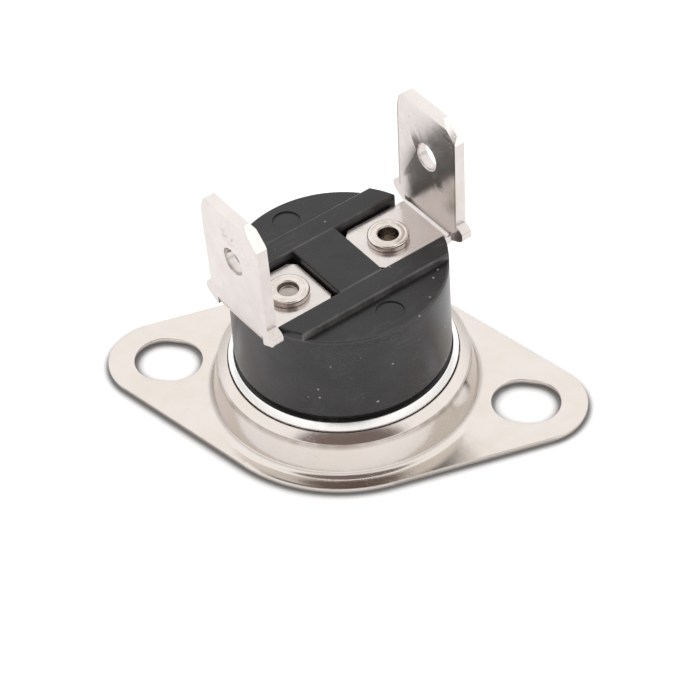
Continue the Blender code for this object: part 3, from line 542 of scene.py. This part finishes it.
def spinSection(bm, points, steps, closed=True):
    # turns a section of (radius, height) points about the upright axis
    verts = [bm.verts.new((max(radius, 0.0), 0, height)) for radius, height in points]
    edges = [bm.edges.new((verts[i], verts[i + 1])) for i in range(len(verts) - 1)]
    if closed:
        edges.append(bm.edges.new((verts[-1], verts[0])))
    bmesh.ops.spin(bm, geom=verts + edges, axis=(0, 0, 1), cent=(0, 0, 0), angle=math.tau,
                   steps=steps, use_merge=True)
    bmesh.ops.remove_doubles(bm, verts=bm.verts, dist=0.0002)
    loose = [edge for edge in bm.edges if not edge.link_faces]
    bmesh.ops.delete(bm, geom=loose, context="EDGES")


def extrudeFaces(bm, faces, rise):
    moved = bmesh.ops.extrude_face_region(bm, geom=faces)["geom"]
    verts = [item for item in moved if isinstance(item, bmesh.types.BMVert)]
    bmesh.ops.translate(bm, verts=verts, vec=(0, 0, rise))


def splitFaces(bm, place, normal, faces=None):
    # divides the given faces, or else all of them, along a plane
    geom = bm.verts[:] + bm.edges[:]
    if faces is None:
        faces = bm.faces[:]
    else:
        near = {item for face in faces for item in face.verts[:] + face.edges[:]}
        geom = [item for item in geom if item in near]
    bmesh.ops.bisect_plane(bm, geom=geom + faces, dist=1e-5, plane_co=place, plane_no=normal)


def sheetFromLoops(loops, thickness):
    # fills an outline with its holes and gives it a thickness below z = 0
    bm = bmesh.new()
    edges = []
    for points in loops:
        verts = [bm.verts.new((x, y, 0)) for x, y in points]
        edges += [bm.edges.new((verts[i - 1], verts[i])) for i in range(len(verts))]
    bmesh.ops.triangle_fill(bm, use_beauty=True, edges=edges)
    extrudeFaces(bm, bm.faces[:], -thickness)
    return bm


def cutRims(bm, wanted):
    # the wanted sharp edges between a sheet's faces and its cut sides
    rims = []
    for edge in bm.edges:
        if len(edge.link_faces) == 2 and edge.calc_face_angle() > 1.0:
            flat = abs(edge.verts[0].co.z - edge.verts[1].co.z) < 1e-4
            if flat and wanted(edge):
                rims.append(edge)
    return rims


def softenEdges(bm, edges, offset, segments):
    bmesh.ops.bevel(bm, geom=edges, offset=offset, offset_type="OFFSET", segments=segments,
                    profile=0.5, affect="EDGES", clamp_overlap=True, material=-1)


def finishPiece(bm, name, material, body, node, turned=True, smoothAngle=32):
    bmesh.ops.remove_doubles(bm, verts=bm.verts, dist=0.0002)
    bmesh.ops.recalc_face_normals(bm, faces=bm.faces)
    if turned:
        bmesh.ops.rotate(bm, verts=bm.verts, cent=(0, 0, 0),
                         matrix=Matrix.Rotation(switchAngle, 3, "Z"))
    bmesh.ops.scale(bm, verts=bm.verts, vec=(0.001, 0.001, 0.001))
    mesh = bpy.data.meshes.new(name)
    bm.to_mesh(mesh)
    bm.free()
    mesh.shade_smooth()
    mesh.set_sharp_from_angle(angle=math.radians(smoothAngle))
    mesh.materials.append(material)
    piece = bpy.data.objects.new(name, mesh)
    scene.collection.objects.link(piece)
    flats = piece.modifiers.new("flats stay flat", "WEIGHTED_NORMAL")
    flats.keep_sharp = True
    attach(piece, body)
    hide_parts(node)
    print(name, len(mesh.polygons), "faces")
    return piece


# Mounting flange: blanked plate with a drawn collar and an in-turned lip

flangeSettings = {
    "thickness": 0.5, "width": 20.8, "earSpacing": 26.6, "earRadius": 3.65,
    "slotSpacing": 25.4, "slotLength": 4.8, "slotWidth": 4.1,
    "footRadius": 9.3, "shoulderRadius": 8.76, "shoulderHeight": 3.05,
    "lipRadius": 8.0, "lipHeight": 3.5, "fillet": 0.6, "shoulderRounding": 0.3,
    "lipRounding": 0.06, "underRounding": 0.05, "boreRounding": 0.15, "edgeSoftening": 0.06,
    "turnSteps": 144,
}


def flangeOutline(s):
    ear = s["earSpacing"] / 2
    middle = s["width"] / 2
    tangent = math.degrees(math.acos((middle - s["earRadius"]) / ear))
    points = arcPoints(ear, 0, s["earRadius"], -tangent, tangent, 28)
    points += arcPoints(0, 0, middle, tangent, 180 - tangent, 40)
    points += arcPoints(-ear, 0, s["earRadius"], 180 - tangent, 180 + tangent, 28)
    points += arcPoints(0, 0, middle, 180 + tangent, 360 - tangent, 40)
    return points


def slotOutline(s, centreX):
    reach = (s["slotLength"] - s["slotWidth"]) / 2
    points = arcPoints(centreX + reach, 0, s["slotWidth"] / 2, -90, 90, 24)
    return points + arcPoints(centreX - reach, 0, s["slotWidth"] / 2, 90, 270, 24)


def collarBore(s, height):
    run = s["footRadius"] - s["shoulderRadius"]
    rise = s["shoulderHeight"] - s["thickness"]
    wall = s["thickness"] * math.hypot(run, rise) / rise
    return s["footRadius"] - run * (height - s["thickness"]) / rise - wall


def collarSection(s, outer):
    foot = Vector((s["footRadius"], s["thickness"]))
    shoulder = Vector((s["shoulderRadius"], s["shoulderHeight"]))
    lip = Vector((s["lipRadius"], s["lipHeight"]))
    slope = (shoulder.y - lip.y) / (shoulder.x - lip.x)
    drop = s["thickness"] * math.hypot(1, slope)
    lipUnder = Vector((lip.x, lip.y - drop))
    cornerHeight = lipUnder.y
    for _ in range(20):
        cornerHeight = lipUnder.y + slope * (collarBore(s, cornerHeight) - lip.x)
    boreCorner = (collarBore(s, cornerHeight), cornerHeight)
    boreFoot = (collarBore(s, 0), 0)
    rounding = s["lipRounding"]
    points = [(outer, s["thickness"])]
    points += roundCorner((outer, s["thickness"]), foot, shoulder, s["fillet"], 10)
    points += roundCorner(foot, shoulder, lip, s["shoulderRounding"], 10)
    points += roundCorner(shoulder, lip, lipUnder, rounding, 6)
    points += roundCorner(lip, lipUnder, boreCorner, s["underRounding"], 3)
    points += [boreCorner]
    points += roundCorner(boreCorner, boreFoot, (outer, 0), s["boreRounding"], 4)
    return points + [(outer, 0)]


def buildFlange(s):
    join = s["footRadius"] + s["fillet"] + s["thickness"] / 4
    loops = [flangeOutline(s), ringPoints(0, 0, join, s["turnSteps"])]
    loops += [slotOutline(s, side * s["slotSpacing"] / 2) for side in (-1, 1)]
    bm = sheetFromLoops(loops, s["thickness"])
    bmesh.ops.translate(bm, verts=bm.verts, vec=(0, 0, s["thickness"]))
    inner = [face for face in bm.faces if abs(face.normal.z) < 0.5
             and all(vert.co.xy.length < join + 0.001 for vert in face.verts)]
    bmesh.ops.delete(bm, geom=inner, context="FACES")
    spinSection(bm, collarSection(s, join), s["turnSteps"], closed=False)
    rims = cutRims(bm, lambda edge: edge.verts[0].co.xy.length > join + 0.01)
    softenEdges(bm, rims, s["edgeSoftening"], 3)
    return finishPiece(bm, "flangePlate", nickelPlate, "flange", "mounting_flange",
                       turned=False)


buildFlange(flangeSettings)


# Sensing cap: drawn cup, folded brim under the flange, rim crimped over the case

capSettings = {
    "radius": 7.94, "wall": 0.3, "corner": 0.5, "brimTop": 2.5, "brimThickness": 0.55,
    "brimClearance": 0.06, "crimpStart": 3.64, "crimpTop": 4.04, "rimBore": 7.53,
    "rimEdge": 0.1, "rimRounding": 0.06, "crimpRounding": 0.12, "turnSteps": 144,
}


def buildCap(s):
    radius = s["radius"]
    bore = radius - s["wall"]
    brimRadius = collarBore(flangeSettings, s["brimTop"]) - s["brimClearance"]
    brimHalf = s["brimThickness"] / 2
    brimBottom = s["brimTop"] - s["brimThickness"]
    rimOuter = s["rimBore"] + s["rimEdge"]
    points = [(0, 0)]
    points += roundCorner((0, 0), (radius, 0), (radius, brimBottom), s["corner"], 8)
    points += [(radius, brimBottom)]
    points += arcPoints(brimRadius - brimHalf, s["brimTop"] - brimHalf, brimHalf, -90, 90, 8)
    points += [(radius, s["brimTop"])]
    points += roundCorner((radius, s["brimTop"]), (radius, s["crimpStart"]),
                          (rimOuter, s["crimpTop"]), s["crimpRounding"], 4)
    points += roundCorner((radius, s["crimpStart"]), (rimOuter, s["crimpTop"]),
                          (s["rimBore"], s["crimpTop"]), s["rimRounding"], 5)
    points += roundCorner((rimOuter, s["crimpTop"]), (s["rimBore"], s["crimpTop"]),
                          (s["rimBore"], s["crimpTop"] - s["wall"]), s["rimRounding"] / 2, 3)
    points += [(s["rimBore"], s["crimpTop"] - s["wall"]), (bore, s["crimpTop"] - 1.5 * s["wall"])]
    points += roundCorner((bore, s["crimpStart"]), (bore, s["wall"]), (0, s["wall"]),
                          s["corner"] - s["wall"], 5)
    points += [(0, s["wall"])]
    bm = bmesh.new()
    spinSection(bm, points, s["turnSteps"])
    return finishPiece(bm, "capCup", drawnAluminium, "switch", "sensing_cap")


buildCap(capSettings)


# Moulded case: round, with two ledges, two ribs and a bridge between the terminal channels

caseShape = {
    "radius": 7.5, "base": 4.55, "channelFloor": 10.44, "ledge": 11.38, "ribTop": 11.93,
    "ribOuter": 4.4, "channelHalf": 2.65, "bridgeHalf": 1.8, "turnSteps": 96,
    "edgeRounding": 0.17, "shortEdge": 0.3,
    "foot": [(7.46, 4.47), (7.27, 4.42), (7.27, 4.08), (7.5, 4.0), (7.5, 3.73), (7.54, 3.55),
             (7.54, 2.32), (6.0, 2.32), (6.0, 7.66), (5.95, 7.79), (5.82, 7.84)],
    "rivetHoles": (4.3, -4.1), "holeRadius": 1.03, "ceiling": 7.84,
    "dimpleOffset": 5.8, "dimpleRadius": 0.95, "dimpleMouth": 1.25, "dimpleDepth": 0.1,
    "pocketStart": -2.6, "pocketEnd": 2.5, "pocketHalf": 1.7, "pocketTop": 8.74,
}


def raiseFaces(bm, wanted, height):
    top = max(vert.co.z for vert in bm.verts)
    faces = [face for face in bm.faces if face.normal.z > 0.9 and wanted(face.calc_center_median())]
    extrudeFaces(bm, faces, height - top)


def extendRing(bm, edges, radius, height):
    # carries an open ring of edges on to the next radius and height of a section
    ring = bmesh.ops.extrude_edge_only(bm, edges=edges)["geom"]
    verts = [item for item in ring if isinstance(item, bmesh.types.BMVert)]
    share = radius / verts[0].co.xy.length
    bmesh.ops.scale(bm, verts=verts, vec=(share, share, 1))
    bmesh.ops.translate(bm, verts=verts, vec=(0, 0, height - verts[0].co.z))
    return [item for item in ring if isinstance(item, bmesh.types.BMEdge)
            and all(vert in verts for vert in item.verts)]


def addShape(name, bm):
    # an object that is only there for the cutting
    bmesh.ops.recalc_face_normals(bm, faces=bm.faces)
    mesh = bpy.data.meshes.new(name)
    bm.to_mesh(mesh)
    bm.free()
    shape = bpy.data.objects.new(name, mesh)
    scene.collection.objects.link(shape)
    return shape


def coneCutter(name, foot, top, depth, segments, place):
    bm = bmesh.new()
    bmesh.ops.create_cone(bm, cap_ends=True, segments=segments, radius1=foot, radius2=top,
                          depth=depth)
    bmesh.ops.translate(bm, verts=bm.verts, vec=place)
    return addShape(name, bm)


def cutShapes(piece, cutters):
    # cuts the shapes out and keeps the result as the mesh
    for cutter in cutters:
        boolean = piece.modifiers.new(cutter.name, "BOOLEAN")
        boolean.operation = "DIFFERENCE"
        boolean.solver = "EXACT"
        boolean.object = cutter
    bpy.context.view_layer.update()
    evaluated = piece.evaluated_get(bpy.context.evaluated_depsgraph_get())
    bm = bmesh.new()
    bm.from_mesh(evaluated.to_mesh())
    evaluated.to_mesh_clear()
    for item in cutters + [piece]:
        bpy.data.objects.remove(item, do_unlink=True)
    return bm


def buildCase(s):
    bm = bmesh.new()
    bmesh.ops.create_circle(bm, cap_ends=True, cap_tris=False, radius=s["radius"],
                            segments=s["turnSteps"])
    bmesh.ops.translate(bm, verts=bm.verts, vec=(0, 0, s["base"]))
    for place in (-s["ribOuter"], -s["channelHalf"], s["channelHalf"], s["ribOuter"]):
        splitFaces(bm, (0, place, 0), (0, 1, 0))
    for place in (-s["bridgeHalf"], s["bridgeHalf"]):
        strip = [face for face in bm.faces if abs(face.calc_center_median().y) < 1]
        splitFaces(bm, (place, 0, 0), (1, 0, 0), strip)
    crowded = [vert for vert in bm.verts if len(vert.link_edges) == 2
               and any(edge.calc_length() < s["shortEdge"] for edge in vert.link_edges)]
    bmesh.ops.dissolve_verts(bm, verts=crowded)  # leaves the edges room for their rounding
    bmesh.ops.recalc_face_normals(bm, faces=bm.faces)
    if bm.faces[:][0].normal.z < 0:
        bmesh.ops.reverse_faces(bm, faces=bm.faces[:])
    extrudeFaces(bm, bm.faces[:], s["channelFloor"] - s["base"])
    bmesh.ops.recalc_face_normals(bm, faces=bm.faces)
    raiseFaces(bm, lambda c: abs(c.y) > s["channelHalf"] or abs(c.x) < s["bridgeHalf"],
               s["ledge"])
    bm.normal_update()
    raiseFaces(bm, lambda c: c.z > s["ledge"] - 0.1 and abs(c.y) < s["ribOuter"], s["ribTop"])
    hidden = []
    for face in bm.faces:
        c = face.calc_center_median()
        if abs(face.normal.z) > 0.9 and c.z < s["ledge"] + 0.1:
            inChannel = abs(c.y) < s["channelHalf"] and abs(c.x) > s["bridgeHalf"]
            onFloor = inChannel and abs(c.z - s["channelFloor"]) < 1e-3
            onLedge = abs(c.y) > s["ribOuter"] and abs(c.z - s["ledge"]) < 1e-3
            if not onFloor and not onLedge:
                hidden.append(face)  # the base, and what raising leaves inside
    bmesh.ops.delete(bm, geom=hidden, context="FACES")
    loose = [edge for edge in bm.edges if not edge.link_faces]
    bmesh.ops.delete(bm, geom=loose, context="EDGES")
    ring = [edge for edge in bm.edges if edge.is_boundary]
    for radius, height in s["foot"]:
        ring = extendRing(bm, ring, radius, height)
    bmesh.ops.contextual_create(bm, geom=ring)
    bmesh.ops.recalc_face_normals(bm, faces=bm.faces)
    bm.normal_update()

    def ribFoot(edge):
        return all(abs(abs(vert.co.y) - s["ribOuter"]) < 1e-3
                   and abs(vert.co.z - s["ledge"]) < 1e-3 for vert in edge.verts)

    sharp = [edge for edge in bm.edges
             if len(edge.link_faces) == 2 and edge.calc_face_angle() > 1.0
             and (edge.is_convex or ribFoot(edge))
             and min(vert.co.z for vert in edge.verts) > s["channelFloor"] - 0.01]
    softenEdges(bm, sharp, s["edgeRounding"], 4)
    blank = addShape("caseBlank", bm)
    cutters = []
    for place in s["rivetHoles"]:
        cutters.append(coneCutter("rivetHole", s["holeRadius"], s["holeRadius"], 8, 48,
                                  (place, 0, s["ceiling"] + 1)))
    for side in (-1, 1):
        cutters.append(coneCutter("dimple", s["dimpleRadius"], s["dimpleMouth"], 1, 64,
                                  (0, side * s["dimpleOffset"],
                                   s["ledge"] - s["dimpleDepth"] + 0.5)))
    pocket = bmesh.new()
    bmesh.ops.create_cube(pocket, size=1)
    bmesh.ops.scale(pocket, verts=pocket.verts,
                    vec=(s["pocketEnd"] - s["pocketStart"], 2 * s["pocketHalf"], 2))
    bmesh.ops.translate(pocket, verts=pocket.verts,
                        vec=((s["pocketStart"] + s["pocketEnd"]) / 2, 0, s["pocketTop"] - 1))
    cutters.append(addShape("armPocket", pocket))
    bm = cutShapes(blank, cutters)
    return finishPiece(bm, "blackCaseBody", blackCase, "switch", "body")


buildCase(caseShape)


# Blade terminals: cut from sheet with ears at the foot, coined at the tip and bent up once

bladeShape = {
    "thickness": 0.8, "width": 6.3, "top": 20.95, "padWidth": 4.8, "padCorner": 0.5,
    "padCornerRounding": 0.12, "bendRadius": 0.33, "earWidth": 7.6, "earDrop": 0.7,
    "earCornerDrop": 0.2, "earCorner": 0.25, "earFull": 0.55, "earTop": 0.95, "earRelief": 0.12,
    "earRoundings": ((0.08, 3), (0.3, 4), (0.3, 4), (0.2, 3), (0.15, 3)), "bendSteps": 10,
    "farChamfer": (1.05, 1.05), "nearChamfer": (0.64, 0.6), "tipBevel": 0.55,
    "tipThickness": 0.4, "holeRadius": 1.0, "holeDrop": 4.35, "padTop": 11.26, "rivetHole": 1.03,
    "holeSoftening": 0.09,
}
rightTerminal = {
    "name": "rightBlade", "node": "terminal_right", "side": 1,
    "padStart": 2.14, "bladeFace": 7.68, "lean": 1.0, "rivetPlace": 4.3,
}
leftTerminal = {
    "name": "leftBlade", "node": "terminal_left", "side": -1,
    "padStart": 1.97, "bladeFace": 7.25, "lean": 2.0, "rivetPlace": 4.1,
}


def bentPoint(along, offset, start, radius, turn, thickness):
    # place of a point of the flat blank once the strip has its one bend
    if along <= start:
        return along, offset
    middle = radius + thickness / 2
    part = min(along - start, middle * turn)
    angle = part / middle
    rest = along - start - part
    x = start + middle * math.sin(angle) + rest * math.cos(angle)
    z = middle * (1 - math.cos(angle)) + rest * math.sin(angle)
    return x - offset * math.sin(angle), z + offset * math.cos(angle)


def coinedLines(tip, half, s):
    # the three coined edges round the tip: outward direction, and a point on each
    lines = [(Vector((1, 0, 0)), Vector((tip, 0, 0)))]
    for side, (inwards, down) in ((1, s["farChamfer"]), (-1, s["nearChamfer"])):
        across = Vector((inwards, side * down, 0)).normalized()
        lines.append((across, Vector((tip, side * (half - inwards), 0))))
    return lines


def coinedShare(point, lines, width):
    flat = Vector((point.x, point.y, 0))
    return max(0.0, *[(flat - place).dot(across) / width + 1 for across, place in lines])


def coinTip(bm, lines, width):
    for across, place in lines:
        splitFaces(bm, place - across * width, across)
    for across, place in lines[1:]:
        faces = [face for face in bm.faces
                 if coinedShare(face.calc_center_median(), lines, width) > 0]
        splitFaces(bm, place, lines[0][0] - across, faces)


def buildTerminal(s, own):
    thickness = s["thickness"]
    turn = math.pi / 2 - math.radians(own["lean"])
    bendStart = own["bladeFace"] - s["bendRadius"] - own["padStart"]
    bendEnd = bendStart + (s["bendRadius"] + thickness / 2) * turn
    endHeight = bentPoint(bendEnd, 0, bendStart, s["bendRadius"], turn, thickness)[1]
    middleHeight = s["padTop"] - thickness / 2
    rise = math.cos(math.radians(own["lean"]))
    tip = bendEnd + (s["top"] - middleHeight - endHeight) / rise
    hole = tip - s["holeDrop"] / rise
    pad = s["padWidth"] / 2
    half = s["width"] / 2
    ear = s["earWidth"] / 2
    earInner = pad + s["earRelief"]
    cornerHeight = bendEnd - s["earCornerDrop"] + s["earCorner"]
    corner = s["padCorner"]
    cornerRounding = s["padCornerRounding"]
    halfOutline = roundCorner((0, 0), (0, pad - corner), (corner, pad), cornerRounding, 3)
    halfOutline += roundCorner((0, pad - corner), (corner, pad), (1, pad), cornerRounding, 3)
    earPath = [(bendEnd, earInner), (bendEnd - s["earDrop"], earInner),
               (bendEnd - s["earCornerDrop"], ear - s["earCorner"]), (cornerHeight, ear),
               (bendEnd + s["earFull"], ear),
               (bendEnd + (s["earFull"] + s["earTop"]) / 2, ear - (ear - half) / 3),
               (bendEnd + s["earTop"], half)]
    halfOutline += [(bendEnd, pad), earPath[0]]
    for i, (rounding, steps) in enumerate(s["earRoundings"]):
        halfOutline += roundCorner(*earPath[i:i + 3], rounding, steps)
    halfOutline += [earPath[-1]]
    outline = halfOutline[:]
    for side, (inwards, down) in ((1, s["farChamfer"]), (-1, s["nearChamfer"])):
        corner = [(tip - down, side * half), (tip, side * (half - inwards))]
        outline += corner[::side]
    outline += [(x, -y) for x, y in halfOutline[::-1]]
    loops = [outline, ringPoints(own["rivetPlace"] - own["padStart"], 0, s["rivetHole"], 48),
             ringPoints(hole, 0, s["holeRadius"], 48)]
    bm = sheetFromLoops(loops, thickness)
    holePlace = Vector((hole, 0))

    def nearHole(edge):
        return (edge.verts[0].co.xy - holePlace).length < s["holeRadius"] + 0.05

    softenEdges(bm, cutRims(bm, nearHole), s["holeSoftening"], 5)
    lines = coinedLines(tip, half, s)
    coinTip(bm, lines, s["tipBevel"])
    for i in range(s["bendSteps"] + 1):
        place = bendStart + (bendEnd - bendStart) * i / s["bendSteps"]
        splitFaces(bm, (place, 0, 0), (1, 0, 0))
    thinning = 1 - s["tipThickness"] / thickness
    straightX, straightZ = bentPoint(bendEnd, 0, bendStart, s["bendRadius"], turn, thickness)
    for vert in bm.verts:
        along, across, depth = vert.co
        offset = depth + thickness / 2
        offset *= 1 - coinedShare(vert.co, lines, s["tipBevel"]) * thinning
        if abs(across) > pad + s["earRelief"] / 2:
            past = along - bendEnd
            x = straightX + past * math.cos(turn) - offset * math.sin(turn)
            z = straightZ + past * math.sin(turn) + offset * math.cos(turn)
        else:
            x, z = bentPoint(along, offset, bendStart, s["bendRadius"], turn, thickness)
        vert.co = (own["side"] * (own["padStart"] + x), across, middleHeight + z)
    return finishPiece(bm, own["name"], tabPlate, "switch", own["node"],
                       smoothAngle=19)


buildTerminal(bladeShape, rightTerminal)
buildTerminal(bladeShape, leftTerminal)


# Tubular rivets: a head rolled outwards, its bore open, flared under the plate inside

rivetShape = {
    "headRadius": 1.45, "headHeight": 0.5, "boreRadius": 0.7, "shankRadius": 1.0,
    "rollRounding": 0.15, "ringRadius": 1.14, "ringHalf": 0.06, "ringDepth": 0.02,
    "boreRounding": 0.13, "flareRadius": 1.25, "flareHeight": 0.35, "seat": 0.02,
    "padTop": 11.26, "platesTop": 7.82, "turnSteps": 96,
}


def buildRivet(s, name, node, place, plateThickness, boreDepth):
    under = s["padTop"] + s["seat"]
    top = s["padTop"] + s["headHeight"]
    underPlate = s["platesTop"] - plateThickness - s["seat"]
    bottom = underPlate - s["flareHeight"]
    head = s["headRadius"]
    bore = s["boreRadius"]
    ring = s["ringRadius"]
    points = [(0, bottom), (s["shankRadius"], bottom),
              (s["flareRadius"], underPlate - s["flareHeight"] / 3),
              (s["flareRadius"], underPlate), (s["shankRadius"], underPlate),
              (s["shankRadius"], under), (head - 0.03, under), (head, under + 0.03)]
    points += roundCorner((head, under), (head, top), (bore, top), s["rollRounding"], 8)
    points += [(ring + s["ringHalf"], top), (ring, top - s["ringDepth"]),
               (ring - s["ringHalf"], top)]
    points += roundCorner((ring, top), (bore, top), (bore, top - boreDepth), s["boreRounding"], 6)
    points += roundCorner((bore, top), (bore - 0.04, top - boreDepth), (0, top - boreDepth),
                          0.06, 3)
    points += [(0, top - boreDepth - 0.02)]
    bm = bmesh.new()
    spinSection(bm, points, s["turnSteps"])
    bmesh.ops.translate(bm, verts=bm.verts, vec=(place, 0, 0))
    return finishPiece(bm, name, rivetPlate, "switch", node)


buildRivet(rivetShape, "rightRivet", "rivet_right", 4.3, 0.4, 1.6)
buildRivet(rivetShape, "leftRivet", "rivet_left", -4.1, 0.15, 0.42)


# Floor and light: white paper, a bright dome, and the dark of the room behind the camera

studioSettings = {
    "floorSize": 2.4, "floorColour": (0.94, 0.94, 0.945), "floorGlow": 0.36,
    "shadowReach": 0.0012, "shadowDepth": 0.22, "shadowFrom": 0.62, "shadowTo": 0.93,
    "skyColour": (1.33, 1.325, 1.32), "horizonColour": (0.84, 0.835, 0.83),
    "horizonTop": 0.62, "roomColour": (0.24, 0.185, 0.175),
    "roomAzimuth": 15.0, "roomElevation": 61.5, "roomInner": 25.0, "roomOuter": 33.0,
}


def buildFloor(s):
    bm = bmesh.new()
    bmesh.ops.create_grid(bm, x_segments=1, y_segments=1, size=s["floorSize"] / 2)
    mesh = bpy.data.meshes.new("paperFloor")
    bm.to_mesh(mesh)
    bm.free()
    material = bpy.data.materials.new("whitePaper")
    material.use_nodes = True
    shader = material.node_tree.nodes["Principled BSDF"]
    shader.inputs["Roughness"].default_value = 0.9
    shader.inputs["Specular IOR Level"].default_value = 0.1
    near = addNode(material.node_tree, "ShaderNodeAmbientOcclusion", "contact shadow")
    near.inputs["Distance"].default_value = s["shadowReach"]
    light = mapValue(material.node_tree, near.outputs["AO"], s["shadowDepth"], 1.0,
                     s["shadowFrom"], s["shadowTo"])
    paper = mixColours(material.node_tree, light, (0, 0, 0), s["floorColour"])
    for socket in ("Base Color", "Emission Color"):
        material.node_tree.links.new(paper, shader.inputs[socket])
    shader.inputs["Emission Strength"].default_value = s["floorGlow"]
    mesh.materials.append(material)
    floor = bpy.data.objects.new("paperFloor", mesh)
    scene.collection.objects.link(floor)


def lightWorld(s):
    world = bpy.data.worlds.new("studio")
    scene.world = world
    world.use_nodes = True
    tree = world.node_tree
    link = tree.links.new
    background = tree.nodes["Background"]
    coordinates = addNode(tree, "ShaderNodeTexCoord")
    split = addNode(tree, "ShaderNodeSeparateXYZ")
    link(coordinates.outputs["Generated"], split.inputs["Vector"])
    azimuth = math.radians(s["roomAzimuth"])
    elevation = math.radians(s["roomElevation"])
    towards = addNode(tree, "ShaderNodeVectorMath", operation="DOT_PRODUCT")
    towards.inputs[1].default_value = (math.sin(azimuth) * math.cos(elevation),
                                       -math.cos(azimuth) * math.cos(elevation),
                                       math.sin(elevation))
    link(coordinates.outputs["Generated"], towards.inputs[0])
    room = addNode(tree, "ShaderNodeMapRange", "room", interpolation_type="SMOOTHSTEP")
    room.inputs["From Min"].default_value = math.cos(math.radians(s["roomOuter"]))
    room.inputs["From Max"].default_value = math.cos(math.radians(s["roomInner"]))
    link(towards.outputs["Value"], room.inputs["Value"])
    above = addNode(tree, "ShaderNodeMapRange", "height of the sky",
                    interpolation_type="SMOOTHSTEP")
    above.inputs["From Max"].default_value = s["horizonTop"]
    link(split.outputs["Z"], above.inputs["Value"])
    sky = mixColours(tree, above.outputs["Result"], s["horizonColour"], s["skyColour"])
    light = mixColours(tree, room.outputs["Result"], sky, s["roomColour"])
    link(light, background.inputs["Color"])


buildFloor(studioSettings)
lightWorld(studioSettings)
scene.view_settings.view_transform = "Standard"
scene.view_settings.look = "None"
print("studio set")
